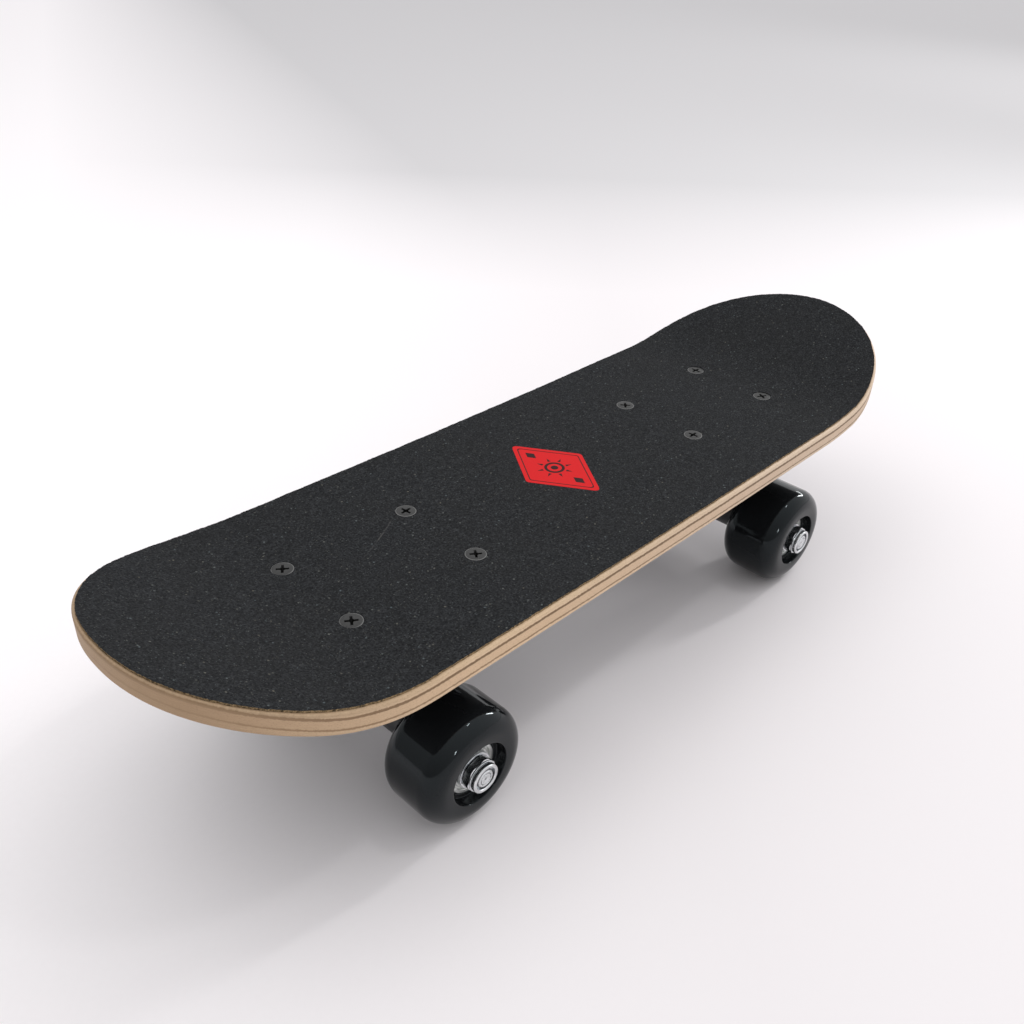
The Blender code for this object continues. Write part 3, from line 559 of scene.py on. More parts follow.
def grip_finish():
    # Charcoal abrasive: mottled grit with faint tinted sparkles and one scratch
    f = Finish("grip_tape", Roughness=0.9, Specular_IOR_Level=0.1)
    vector = f.coordinates()
    grit = f.noise(vector, 1250.0, 3.0, 0.7)
    coarse = f.noise(vector, 420.0, 3.0, 0.6)
    cloud = f.noise(vector, 26.0, 3.0)
    base = f.mix(f.span(grit, 0.36, 0.66), (0.004, 0.0044, 0.0054), (0.04, 0.042, 0.045))
    base = f.mix(f.span(coarse, 0.4, 0.68, 0.0, 0.6), base, (0.009, 0.0095, 0.0105))
    base = f.mix(f.span(cloud, 0.35, 0.7, 0.0, 0.25), base, (0.018, 0.0175, 0.017))
    for scale, rare, strength in ((700.0, 0.9, 0.42), (1400.0, 0.7, 0.3)):
        cells = f.add("ShaderNodeTexVoronoi", {"Vector": vector, "Scale": scale}).outputs
        lots = f.add("ShaderNodeSeparateColor", {"Color": cells["Color"]}).outputs
        grain = f.span(cells["Distance"], 0.34, 0.17)
        share = f.product(grain, f.span(lots["Red"], rare, 1.0, 0.0, strength))
        base = f.mix(share, base, f.mix(lots["Green"], (0.27, 0.25, 0.2), (0.2, 0.25, 0.27)))
    f.give(Base_Color=f.mix(scratch_mask(f, vector, coarse), base, (0.14, 0.135, 0.13)))
    return f.bumped(f.maths("ADD", grit, f.product(cells["Distance"], 0.5)), 0.7, 0.00028)


def grip_rim_finish():
    # The sheet's cut side, sanded down to brown fuzz
    f = Finish("grip_cut_edge", Roughness=0.85, Specular_IOR_Level=0.15)
    fuzz = f.noise(f.coordinates(), 1300.0, 4.0, 0.7)
    f.give(Base_Color=f.mix(f.span(fuzz, 0.38, 0.6), (0.05, 0.036, 0.02), (0.34, 0.24, 0.13)))
    return f.bumped(fuzz, 0.6, 0.0002)


def badge_finish(name, colour, shade):
    # Ink on the grip tape, whose grain still shows through
    f = Finish(name, Roughness=0.75, Specular_IOR_Level=0.12)
    grit = f.noise(f.coordinates(), 1300.0, 3.0, 0.65)
    f.give(Base_Color=f.mix(f.span(grit, 0.55, 0.85, 0.0, 0.5), colour, shade))
    return f.bumped(grit, 0.35, 0.0001)


def bolt_finish():
    # Blackened steel, worn bright at the rim of the head, with painted shade in the cross recess
    f = Finish("blackened_steel", Specular_IOR_Level=0.25)
    vector = f.coordinates()
    axes = f.axes(vector)
    square = f.maths("MULTIPLY_ADD", axes["Y"], axes["Y"], f.product(axes["X"], axes["X"]))
    radius = f.maths("SQRT", square)
    fine = f.noise(vector, 1400.0, 3.0, 0.6)
    rim = f.product(f.span(radius, 0.0039, 0.0042), f.span(axes["Z"], -0.001, -0.0002),
                    f.span(fine, 0.3, 0.5, 0.55, 1.0))
    base = f.mix(f.span(fine, 0.3, 0.75), (0.034, 0.034, 0.034), (0.066, 0.066, 0.065))
    base = f.mix(rim, base, (0.2, 0.2, 0.195))
    # Painted shade: the cross recess is made near black and not metallic
    sunk = f.product(f.span(axes["Z"], -0.00008, -0.0004), f.span(radius, 0.0032, 0.0028))
    f.give(Base_Color=f.mix(sunk, base, (0.008, 0.008, 0.008)), Metallic=f.span(sunk, 0.0, 1.0, 0.6, 0.0),
           Roughness=f.span(fine, 0.3, 0.75, 0.42, 0.6))
    return f.bumped(fine, 0.2, 0.00008)


def steel_finish(name, colour, rough, grain, strength):
    # Plated or ground steel: fine grain and slight stains
    f = Finish(name, Metallic=1.0)
    vector = f.coordinates()
    fine = f.noise(vector, grain, 4.0, 0.6)
    stain = f.noise(vector, 160.0, 2.0)
    f.give(Base_Color=f.mix(f.span(stain, 0.35, 0.75), colour, tuple(0.72 * c for c in colour)),
           Roughness=f.span(fine, 0.25, 0.8, *rough))
    return f.bumped(fine, strength, 0.00005)


def axle_finish():
    # Bright, hammered ends on an oiled thread whose dark colour is also painted shade, where the nut's bore
    # hides it
    f = Finish("axle_steel", Metallic=1.0)
    vector = f.coordinates()
    fine = f.noise(vector, 1100.0, 4.0, 0.6)
    reach = f.maths("ABSOLUTE", f.axes(vector)["Z"])
    end = f.span(reach, (AXLE_END - 0.5) * MM, (AXLE_END - 0.2) * MM)
    # Painted shade: the thread is much darker than the ends
    dull = f.mix(f.span(fine, 0.3, 0.7), (0.1, 0.1, 0.105), (0.2, 0.2, 0.205))
    bright = f.mix(f.span(fine, 0.4, 0.7), (0.85, 0.87, 0.89), (0.6, 0.62, 0.64))
    f.give(Base_Color=f.mix(end, dull, bright), Roughness=f.span(fine, 0.25, 0.8, 0.2, 0.36))
    return f.bumped(fine, 1.0, 0.0003)


def truck_finish():
    # Black paint over a cast skin
    f = Finish("black_truck_paint", Coat_Weight=0.15, Coat_Roughness=0.3)
    vector = f.coordinates()
    skin = f.noise(vector, 420.0, 4.0, 0.6)
    peel = f.noise(vector, 1100.0, 2.0)
    f.give(Base_Color=f.mix(f.span(skin, 0.35, 0.7), (0.009, 0.009, 0.0095), (0.018, 0.018, 0.019)),
           Roughness=f.span(peel, 0.3, 0.7, 0.34, 0.5))
    return f.bumped(f.maths("MULTIPLY_ADD", peel, 0.4, skin), 0.3, 0.00018)


def wheel_finish():
    # Polished black moulding with slight ripples and a faint haze
    f = Finish("black_wheel_plastic", Specular_IOR_Level=0.24, Specular_Tint=(0.82, 0.95, 1.0))
    vector = f.coordinates()
    ripple = f.noise(vector, 70.0, 2.0)
    fine = f.noise(vector, 900.0, 3.0, 0.6)
    f.give(Base_Color=f.mix(f.span(fine, 0.35, 0.7), (0.0075, 0.0081, 0.009), (0.0084, 0.0091, 0.01)),
           Roughness=f.span(fine, 0.3, 0.75, 0.045, 0.1))
    return f.bumped(f.maths("MULTIPLY_ADD", fine, 0.02, ripple), 0.12, 0.0006)


def soft_finish(name, low, high, rough, scale, strength):
    # Urethane, rubber and nylon
    f = Finish(name)
    fine = f.noise(f.coordinates(), scale, 3.0, 0.55)
    f.give(Base_Color=f.mix(f.span(fine, 0.35, 0.7), low, high),
           Roughness=f.span(fine, 0.3, 0.75, rough - 0.07, rough + 0.07))
    return f.bumped(fine, strength, 0.0001)


def all_surfaces():
    return {
        "ply_edge": ply_edge_finish(),
        "underside": underside_finish(),
        "grip": grip_finish(),
        "grip_rim": grip_rim_finish(),
        "badge": badge_finish("red_print", (0.6, 0.0125, 0.015), (0.42, 0.01, 0.012)),
        "motif": badge_finish("dark_print", (0.035, 0.012, 0.012), (0.06, 0.02, 0.02)),
        "bolt": bolt_finish(),
        "zinc": steel_finish("zinc_plate", (0.8, 0.82, 0.84), (0.14, 0.3), 600.0, 0.15),
        "bearing": steel_finish("bearing_steel", (0.86, 0.88, 0.86), (0.3, 0.42), 1200.0, 0.1),
        "axle": axle_finish(),
        "truck": truck_finish(),
        "wheel": wheel_finish(),
        "bushing": soft_finish("black_urethane", (0.012,) * 3, (0.022,) * 3, 0.42, 500.0, 0.1),
        "rubber": soft_finish("pivot_rubber", (0.008,) * 3, (0.016,) * 3, 0.68, 900.0, 0.2),
        "nylon": soft_finish("lock_nylon", (0.5, 0.52, 0.55), (0.6, 0.62, 0.65), 0.5, 900.0, 0.1),
    }


# Stage, light and camera

def add_camera():
    data = bpy.data.cameras.new("camera")
    data.lens = CAMERA_LENS
    data.clip_start = 0.01
    camera = add_object("camera", data)
    camera.location = CAMERA_PLACE
    camera.rotation_euler = [math.radians(a) for a in CAMERA_TURN]
    bpy.context.scene.camera = camera


def paper_finish():
    # Pale paper with painted shade: it greys behind the object, but not at its far left, and darkens towards
    # the right
    f = Finish("studio_paper", Roughness=0.8, Specular_IOR_Level=0.1)
    vector = f.coordinates()
    paper = f.mix(f.span(f.noise(vector, 380.0, 3.0), 0.35, 0.7, 0.0, 0.3), *PAPER)
    inputs = {"Vector": vector, "Angle": math.radians(BACK_TURN)}
    axes = f.axes(f.add("ShaderNodeVectorRotate", inputs, rotation_type="Z_AXIS").outputs["Vector"])
    back = f.span(axes["Y"], *BACK_EDGE)
    left = f.span(f.maths("MULTIPLY_ADD", axes["Y"], LEFT_SLANT, axes["X"]), *LEFT_EDGE)
    # Painted shade: the paper darkens towards the right
    paper = f.mix(f.span(axes["X"], *SHADE_EDGE, 0.0, 0.75), paper, PAPER_SHADE)
    # Painted shade: the paper greys towards the back, as the light falls off there
    f.give(Base_Color=f.mix(f.product(back, f.maths("SUBTRACT", 1.0, left)), paper, BACK_SHADE_COLOUR))
    return f.surface


def add_floor():
    mesh = bpy.data.meshes.new("floor")
    corners = [(x * FLOOR_REACH, y * FLOOR_REACH, 0.0) for x, y in ((-1, -1), (1, -1), (1, 1), (-1, 1))]
    mesh.from_pydata(corners, [], [(0, 1, 2, 3)])
    mesh.materials.append(paper_finish())
    add_object("floor", mesh)


def add_world():
    # Even light from above, stronger from the nose's end; the camera sees it all pale
    world = bpy.data.worlds.new("studio")
    world.use_nodes = True
    sky = Nodes(world.node_tree)
    inputs = {0: sky.add("ShaderNodeTexCoord").outputs["Generated"], 1: SKY_LEAN}
    lean = sky.add("ShaderNodeVectorMath", inputs, operation="DOT_PRODUCT").outputs["Value"]
    level = sky.maths("ADD", lean, SKY_LEVEL)
    seen = sky.maths("MAXIMUM", level, sky.add("ShaderNodeLightPath").outputs["Is Camera Ray"])
    background = world.node_tree.nodes["Background"]
    sky.put(background.inputs["Color"], (0.99, 0.99, 1.0))
    sky.put(background.inputs["Strength"], seen)
    bpy.context.scene.world = world


def add_lamps():
    for name, (spot, size, power) in LAMPS.items():
        data = bpy.data.lights.new(name, "AREA")
        data.shape = "RECTANGLE"
        data.size, data.size_y = size
        data.energy = power
        lamp = add_object(name, data)
        lamp.location = spot
        lamp.rotation_euler = (-Vector(spot)).to_track_quat("-Z", "Y").to_euler()


# Deck and grip tape

def deck_rise(x):
    # Height of the middle line above its level centre, at x from mid-wheelbase
    along = np.abs(x)
    curved = np.clip(along - ROCKER_FLAT, 0.0, ROCKER_END - ROCKER_FLAT)
    rocker = ROCKER_SLOPE * curved ** 2 / 2 / (ROCKER_END - ROCKER_FLAT)
    straight = ROCKER_SLOPE * np.maximum(along - ROCKER_END, 0.0)
    kick = np.where(x < 0, TAIL_KICK, NOSE_KICK)
    past = np.maximum(along - KICK_START, 0.0)
    bend = np.minimum(past, KICK_BEND_RADIUS * np.sin(kick))
    bent = KICK_BEND_RADIUS - np.sqrt(KICK_BEND_RADIUS ** 2 - bend ** 2)
    return rocker + straight + bent + (past - bend) * np.tan(kick)


def board_rise(x, y):
    # The kicked and rockered middle line plus the lift along both edges
    from_tip = np.where(x < 0, TAIL_OVERHANG + x, NOSE_OVERHANG - x)
    share = np.clip((from_tip - RAIL_FADE[0]) / (RAIL_FADE[1] - RAIL_FADE[0]), 0.0, 1.0)
    fade = share * share * (3.0 - 2.0 * share)
    rail = (np.maximum(np.abs(y) - RAIL_FLAT, 0.0) / (DECK_WIDTH / 2 - RAIL_FLAT)) ** 2
    return deck_rise(x) + RAIL_LIFT * fade * rail


def board_points(x, y, top, depth):
    # Points straight down from the board's top by a depth, as its rim is cut; x is from mid-wheelbase
    return np.stack([x + MID_WHEELBASE, y, board_rise(x, y) + top - depth], axis=1) * MM


def end_quarter(overhang, curve_length, fullness, half_width, steps):
    # From the tip to where the side begins, a quarter of a superellipse
    angle = np.linspace(0.0, math.pi / 2, steps + 1)
    along = np.cos(angle).clip(0.0) ** (2 / fullness)
    across = np.sin(angle) ** (2 / fullness)
    return overhang - curve_length + curve_length * along, half_width * across


def plain_outline(inset, steps):
    curve_steps, side_steps = steps
    half = DECK_WIDTH / 2 - inset
    nose_x, nose_y = end_quarter(NOSE_OVERHANG - inset, NOSE_CURVE_LENGTH - inset, NOSE_FULLNESS, half,
                                 curve_steps)
    tail_x, tail_y = end_quarter(TAIL_OVERHANG - inset, TAIL_CURVE_LENGTH - inset, TAIL_FULLNESS, half,
                                 curve_steps)
    side = np.linspace(nose_x[-1], -tail_x[-1], side_steps + 1)[1:-1]
    left_x = np.concatenate([nose_x, side, -tail_x[::-1]])
    left_y = np.concatenate([nose_y, np.full(len(side), half), tail_y[::-1]])
    return np.concatenate([left_x, left_x[-2:0:-1]]), np.concatenate([left_y, -left_y[-2:0:-1]])


def board_outline(inset, steps):
    # Round from the nose's tip along the left side and back; inset is a number or one for each point
    base_x, base_y = plain_outline(0.0, steps)
    in_x, in_y = plain_outline(1.0, steps)
    return base_x + (in_x - base_x) * inset, base_y + (in_y - base_y) * inset


def board_body(name, profile, top, steps, wander=None):
    # A closed sheet from (inset, depth, kind) rings: over the top, round the rim and along the underside.
    # kind is 1 where the ring belongs to the rim, whose map holds the length round it and the depth
    form = bmesh.new()
    layer = form.loops.layers.uv.new("rim")
    rim_x, rim_y = board_outline(0.0, steps)
    lengths = np.hypot(np.diff(rim_x, append=rim_x[0]), np.diff(rim_y, append=rim_y[0]))
    along = np.concatenate([[0.0], np.cumsum(lengths)]) * MM
    rings, count = [], len(rim_x)
    for inset, depth, _ in profile:
        shift = inset if wander is None or inset > GRIP_INSET + 0.01 else inset + wander
        x, y = board_outline(shift, steps)
        rings.append([form.verts.new(point) for point in board_points(x, y, top, depth)])
    for upper, lower, ring_a, ring_b in zip(rings, rings[1:], profile, profile[1:]):
        # On the top, V goes on below zero with the distance from the rim
        down_a, down_b = (depth if depth > 0 else -max(inset - DECK_EDGE_ROUND, 0.0)
                          for inset, depth, _ in (ring_a, ring_b))
        for j in range(count):
            k = (j + 1) % count
            face = form.faces.new((upper[j], upper[k], lower[k], lower[j]))
            face.material_index = 0 if ring_a[2] and ring_b[2] else 1
            marks = ((along[j], down_a), (along[j + 1], down_a), (along[j + 1], down_b), (along[j], down_b))
            for loop, (u, down) in zip(face.loops, marks):
                loop[layer].uv = (u, down * MM)
    for ring in (rings[0], rings[-1]):
        for j in range(count // 2):
            quad = [ring[j], ring[j + 1], ring[count - j - 1], ring[(count - j) % count]]
            form.faces.new(list(dict.fromkeys(quad))).material_index = 1
    return mesh_from(form, name, 50.0)


def deck_profile():
    # The wood's upper and lower edges are rounded alike
    edge = DECK_EDGE_ROUND
    middle = (*MIDDLE_INSETS, 8.0, 4.0)
    rings = [(inset, 0.0, 0) for inset in middle] + [(2.6, 0.0, 1), (1.9, 0.0, 1)]
    rings += [(edge - r, edge - d, 1) for r, d in arc((0.0, 0.0), edge, 90.0, 0.0, 4)]
    rings += [(0.0, 3.0, 1), (0.0, 4.75, 1), (0.0, 6.5, 1)]
    rings += [(edge - r, DECK_THICKNESS - edge - d, 1) for r, d in arc((0.0, 0.0), edge, 0.0, -90.0, 4)]
    return rings + [(inset, DECK_THICKNESS, 0) for inset in (2.0, *middle[::-1])]


def grip_profile():
    rings = [(inset, 0.0, 0) for inset in (*MIDDLE_INSETS, 7.0, 3.6, 2.2)]
    rings += [(GRIP_INSET, 0.04, 1), (GRIP_INSET, GRIP_SHEET, 1)]
    return rings + [(inset, GRIP_SHEET, 0) for inset in (3.6, 16.0, 44.0, MIDDLE_INSETS[0])]


def ragged_edge(count):
    # A rough line from sums of a few seeded sizes of step
    chance = np.random.default_rng(7)
    line = np.zeros(count)
    for size, weight in ((1, 0.5), (3, 0.5), (9, 0.45), (40, 0.4)):
        steps = chance.uniform(-1.0, 1.0, count // size + 2)
        line += weight * np.interp(np.arange(count) / size, np.arange(len(steps)), steps)
    return line * GRIP_RAGGED


def bolt_places():
    return [(sx * BOLTS_LONG / 2, sy * BOLTS_WIDE / 2) for sx in (1, -1) for sy in (1, -1)]


def truck_matrix(side):
    half = TRUCK_SPACING / 2
    turn = 0.0 if side > 0 else math.pi
    height = UNDERSIDE + float(deck_rise(np.array(half)))
    return place(MID_WHEELBASE + side * half, 0.0, height, (0.0, -TRUCK_TILT, turn))


def steer_matrix(side):
    return truck_matrix(side) @ place(*STEER_POINT, (0.0, -STEER_TILT, 0.0))


def bolt_holes():
    # All eight, countersunk, from above the board to below it
    rim, above, below = BOLT_HEAD_RADIUS + 0.03, 4.0, -BOARD_TOP * 1.5
    points = [(0.0, above), (rim, above), (rim, -BOLT_RIM),
              (BOLT_HOLE_RADIUS, -BOLT_RIM - rim + BOLT_HOLE_RADIUS), (BOLT_HOLE_RADIUS, below), (0.0, below)]
    tool = lathe("bolt_hole", points, 48)
    # The holes' walls take the second surface
    tool.polygons.foreach_set("material_index", [1] * len(tool.polygons))
    spots = [truck_matrix(side) @ place(x, y, BOARD_TOP) for _, side in ENDS for x, y in bolt_places()]
    return [(joined("bolt_holes", [(tool, spot) for spot in spots]), IDENTITY)]


def add_board():
    holes = bolt_holes()
    deck = board_body("deck_wood", deck_profile(), WOOD_TOP, DECK_STEPS)
    add_piece("deck_wood", carved("deck_wood", deck, holes, 50.0), ["ply_edge", "underside"], "deck", ["deck"])
    wander = ragged_edge(len(plain_outline(0.0, GRIP_STEPS)[0]))
    grip = board_body("grip_sheet", grip_profile(), RIDE_HEIGHT, GRIP_STEPS, wander)
    add_piece("grip_sheet", carved("grip_sheet", grip, holes, 50.0), ["grip_rim", "grip"], "deck",
              ["grip_tape"])


def rhombus(half_x, half_y, radius):
    return softened([(half_x, 0), (0, half_y), (-half_x, 0), (0, -half_y)], radius, 6, True)


def badge_shapes():
    # A generic sun between two small diamonds, inside a thin frame; each an outline and the hole in it
    edge, hole, middle = SUN_RADII
    shapes = [(arc((0, 0), edge, 0, 360, 40)[:-1], arc((0, 0), hole, 0, 360, 40)[:-1]),
              (arc((0, 0), middle, 0, 360, 24)[:-1], None)]
    start, end, wide = SUN_RAY
    for i in range(8):
        turn = math.pi / 4 * i + math.pi / 8
        shapes.append(([(x * math.cos(turn) - y * math.sin(turn), x * math.sin(turn) + y * math.cos(turn))
                        for x, y in ((start, -wide), (end, 0.0), (start, wide))], None))
    away, half_x, half_y = DIAMOND
    for y in (-away, away):
        shapes.append(([(0, y - half_y), (half_x, y), (0, y + half_y), (-half_x, y)], None))
    frame_x, frame_y = BADGE_HALF
    shapes.append([rhombus(share * frame_x, share * frame_y, MOTIF_CORNER) for share in FRAME_SHARES])
    return shapes


def motif_mesh(outer, inner):
    # A flat shape, or a flat ring between two outlines with the same number of points
    if inner is None:
        return prism("motif", outer, 0.0, MOTIF_TOP)
    lines = ((outer, 0.0), (outer, MOTIF_TOP), (inner, MOTIF_TOP), (inner, 0.0))
    return ring_mesh("motif", [[(x * MM, y * MM, z * MM) for x, y in line] for line, z in lines], True)


def add_badge():
    spot = place(*BADGE_CENTRE, RIDE_HEIGHT)
    ground = prism("badge_ground", rhombus(*BADGE_HALF, BADGE_CORNER), -0.06, BADGE_LIFT)
    add_piece("badge_ground", ground, ["badge"], "deck", [], spot)
    motif = joined("badge_motif", [(motif_mesh(outer, inner), IDENTITY) for outer, inner in badge_shapes()])
    add_piece("badge_motif", motif, ["motif"], "deck", [], spot)


# Bolts and nuts

def cross_tool():
    # Tapered cross recess, open upward
    parts = []
    for turn in (0.0, QUARTER):
        form = bmesh.new()
        rows = ((2.8, 0.6, 0.6), (2.55, 0.52, 0.0), (1.2, 0.38, -2.3))
        sided(form, [[form.verts.new((x * MM, y * MM, z * MM)) for x, y in
                      ((long, wide), (-long, wide), (-long, -wide), (long, -wide))] for long, wide, z in rows])
        parts.append((mesh_from(form, "cross_arm"), place(0, 0, 0, (0.0, 0.0, turn))))
    return parts + [(lathe("cross_middle", disc(1.05, 0.5, -2.6, 0.25), 24), IDENTITY)]


def threaded(radius, top, bottom, pitch, depth):
    # Rings of a screw thread, whose ridge climbs one pitch a turn
    rows = int((top - bottom) / pitch * 6)
    rings = []
    for row in range(rows + 1):
        height = top + (bottom - top) * row / rows
        ring = []
        for i in range(THREAD_STEPS):
            phase = (height / pitch - i / THREAD_STEPS) % 1.0
            sink = depth * abs(2 * phase - 1) * (0.0 if row in (0, rows) else 1.0)
            angle = 2 * math.pi * i / THREAD_STEPS
            reach = (radius - sink) * MM
            ring.append((reach * math.cos(angle), reach * math.sin(angle), height * MM))
        rings.append(ring)
    return rings


def bolt_mesh():
    # Countersunk head with a cross recess, and a shank threaded at its end
    head, slope = BOLT_HEAD_RADIUS, BOLT_HEAD_RADIUS - BOLT_RADIUS
    end = -BOLT_END - BOARD_TOP
    rings = turned([(0.0, 0.0), (head - 0.25, 0.0), (head - 0.07, -0.06), (head, -0.2), (head, -BOLT_RIM),
                    (BOLT_RADIUS, -BOLT_RIM - slope)], THREAD_STEPS)
    rings += threaded(BOLT_RADIUS, -BOARD_TOP - 2.0, end + 0.7, *BOLT_THREAD)
    rings += turned([(BOLT_RADIUS - 0.6, end), (0.0, end)], THREAD_STEPS)
    return carved("bolt", ring_mesh("bolt", rings), cross_tool(), 25.0)


def collar_profile(height, collar, flange):
    # Up the inside of a nut's round collar, over it and down, then out over its flange if it has one
    radius, rise, wall = collar
    foot = height if not flange else height + flange[1] + 0.25
    profile = softened([(radius - wall, height), (radius - wall, height + rise), (radius, height + rise),
                        (radius, foot)], wall * 0.45, 4)
    if flange:
        out, thick, groove = flange
        top = height + thick
        profile += [(radius - groove, foot - 0.08), (radius - groove, top), (radius, top),
                    (radius + out - 0.15, top - 0.05), (radius + out, top - 0.2), (radius + out, height)]
    return profile


def nut_mesh(name, flats, height, bore, collar=None, flange=None, corner=math.inf):
    # Hexagon with a chamfered bore; its corners are turned off, but not where a collar without a flange stands
    turns = [2 * math.pi * i / ROUND_STEPS for i in range(ROUND_STEPS)]
    corner = min(flats / 2 / math.cos(math.pi / 6) * 0.99, corner)
    reach = [min(flats / 2 / math.cos((a % (math.pi / 3)) - math.pi / 6), corner) for a in turns]
    face = flats / 2 * 0.965

    def side(heights):
        return [(r * math.cos(a) * MM, r * math.sin(a) * MM, z * MM) for a, r, z in zip(turns, reach, heights)]

    drop = [(r - face) * 0.53 for r in reach]
    if collar:
        inside = [(bore, height - 0.2), (collar[0] - collar[2], height - 0.2)]
        inside += collar_profile(height, collar, flange)
    else:
        inside = [(bore, height - 0.9), (bore + 0.5, height)]
    rings = turned(inside + [(face, height)], ROUND_STEPS)
    rings.append(side([height] * ROUND_STEPS if collar and not flange else [height - d for d in drop]))
    rings.append(side(drop))
    rings += turned([(face, 0.0), (bore + 0.5, 0.0), (bore, 0.5)], ROUND_STEPS)
    return ring_mesh(name, rings, True, 22.0)


def nylon_ring():
    # Fills the pocket in the lock nut's collar and grips the thread
    bore, radius = BOLT_RADIUS + 0.02, LOCK_COLLAR[0] - LOCK_COLLAR[2] - 0.02
    low, high = LOCK_NUT[1] - 0.18, LOCK_NUT[1] + LOCK_COLLAR[1] - 0.1
    return [(radius, low), (radius, high - 0.1), (radius - 0.1, high), (bore + 0.1, high), (bore, high - 0.1),
            (bore, low)]


def add_bolts(end, side):
    truck = truck_matrix(side)
    for number, (x, y) in enumerate(bolt_places(), start=1):
        turn = math.radians(CROSS_TURNS[end][number - 1])
        dress(f"{end}_bolt_{number}", "steel", "bolt", "bolt", "deck",
              truck @ place(x, y, BOARD_TOP, (0.0, 0.0, turn)))
        nut = truck @ place(x, y, -BASE_SIZE[2] - 2 * SEAT_GAP, (math.pi, 0.0, 0.3 * number))
        name = f"{end}_lock_nut_{number}"
        dress(name, "steel", "lock_nut", "zinc", "deck", nut)
        add_piece(name + "_nylon", MESHES["lock_nylon"], ["nylon"], "deck", [], nut)


# Trucks

def axle_place():
    # Where the axle runs in the steering frame, so that the wheels stand on the floor
    under = UNDERSIDE + float(deck_rise(np.array(TRUCK_SPACING / 2)))
    drop = (under + AXLE_OUTBOARD * math.sin(TRUCK_TILT) - WHEEL_RADIUS) / math.cos(TRUCK_TILT)
    dx = AXLE_OUTBOARD - STEER_POINT[0]
    dz = -drop - STEER_POINT[2]
    cosine, sine = math.cos(STEER_TILT), math.sin(STEER_TILT)
    return dx * cosine + dz * sine, 0.0, dz * cosine - dx * sine


AXLE = axle_place()


def cast_skin(name, parts):
    # Overlapping closed forms made into one skin with soft inner corners, as a casting has
    return modified(name, joined(name, parts), [
        ("REMESH", {"mode": "VOXEL", "voxel_size": CAST_VOXEL * MM, "use_smooth_shade": True}),
        ("SMOOTH", {"factor": 0.5, "iterations": CAST_SMOOTHING}),
    ])


def rounded_box(name, corners_low, corners_high, bevel):
    # A box between two rectangles at different x, each (x, half width, half height)
    form = bmesh.new()
    bmesh.ops.create_cube(form, size=2.0)
    for vertex in form.verts:
        x, wide, tall = corners_high if vertex.co.x > 0 else corners_low
        vertex.co = Vector((x, math.copysign(wide, vertex.co.y), math.copysign(tall, vertex.co.z))) * MM
    bmesh.ops.bevel(form, geom=form.edges[:], offset=bevel * MM, segments=4, affect="EDGES", profile=0.5)
    return mesh_from(form, name)


def web_outline(steps=24):
    # Flares from the ring down to the barrel
    narrow, wide = WEB_HALF
    top, bottom = RING_HALF - 0.5, AXLE[2]
    shares = [i / steps for i in range(steps + 1)]
    right = [(narrow + (wide - narrow) * share ** 1.8, top + (bottom - top) * share) for share in shares]
    return right + [(-y, z) for y, z in right[::-1]]


def hanger_mesh():
    # In the steering frame: X along the steering axis, Z up along the kingpin
    axle = place(*AXLE) @ Z_TO_Y
    collar_end = HUB_HALF_TRACK - BEARING_FACE - SEAT_GAP
    half = [(0.0, collar_end), (COLLAR_RADIUS, collar_end), (COLLAR_RADIUS, BARREL_END),
            (BARREL_RADIUS - BARREL_ROUND, BARREL_END), (BARREL_RADIUS, BARREL_END - BARREL_ROUND)]
    barrel = both_sides(half)
    ball = arc((0.0, PIVOT_REACH), PIVOT_BALL, 90.0, 0.0, 12)
    nose = [(0.0, ball[0][1]), *ball[1:], (NOSE_RADIUS - 0.7, PIVOT_REACH - 3.7),
            (NOSE_RADIUS, ARM_X[1] - 2.0), (NOSE_RADIUS, ARM_X[1] - 6.0), (0.0, ARM_X[1] - 6.0)]
    low, high = zip(ARM_X, ARM_HALF_WIDTH, ARM_HALF_HEIGHT)
    arm = rounded_box("arm", low, high, ARM_BEVEL)
    skin = cast_skin("hanger", [
        (lathe("barrel", barrel, ROUND_STEPS), axle),
        (prism("web", web_outline(), *WEB_X), FACING_X),
        (arm, IDENTITY),
        (lathe("nose", nose), Z_TO_X),
        (lathe("ring", disc(RING_RADIUS, RING_HALF, -RING_HALF, 0.6), ROUND_STEPS), IDENTITY),
    ])
    far = SEAT_HALF + 7.0
    return carved("hanger", skin, [
        (lathe("seat_up", disc(SEAT_RADIUS, far, SEAT_HALF), ROUND_STEPS), IDENTITY),
        (lathe("seat_down", disc(SEAT_RADIUS, -SEAT_HALF, -far), ROUND_STEPS), IDENTITY),
        (lathe("ring_hole", disc(RING_HOLE, SEAT_HALF + 0.5, -SEAT_HALF - 0.5), ROUND_STEPS), IDENTITY),
        (lathe("axle_hole", disc(AXLE_RADIUS + SEAT_GAP, HUB_HALF_TRACK, -HUB_HALF_TRACK)), axle),
    ], 30.0)


def rounded_rectangle(length, width, corner, steps=10):
    points = []
    for quarter, (sx, sy) in enumerate([(1, 1), (-1, 1), (-1, -1), (1, -1)]):
        centre = (sx * (length / 2 - corner), sy * (width / 2 - corner))
        points += arc(centre, corner, 90.0 * quarter, 90.0 * quarter + 90.0, steps)
    return points


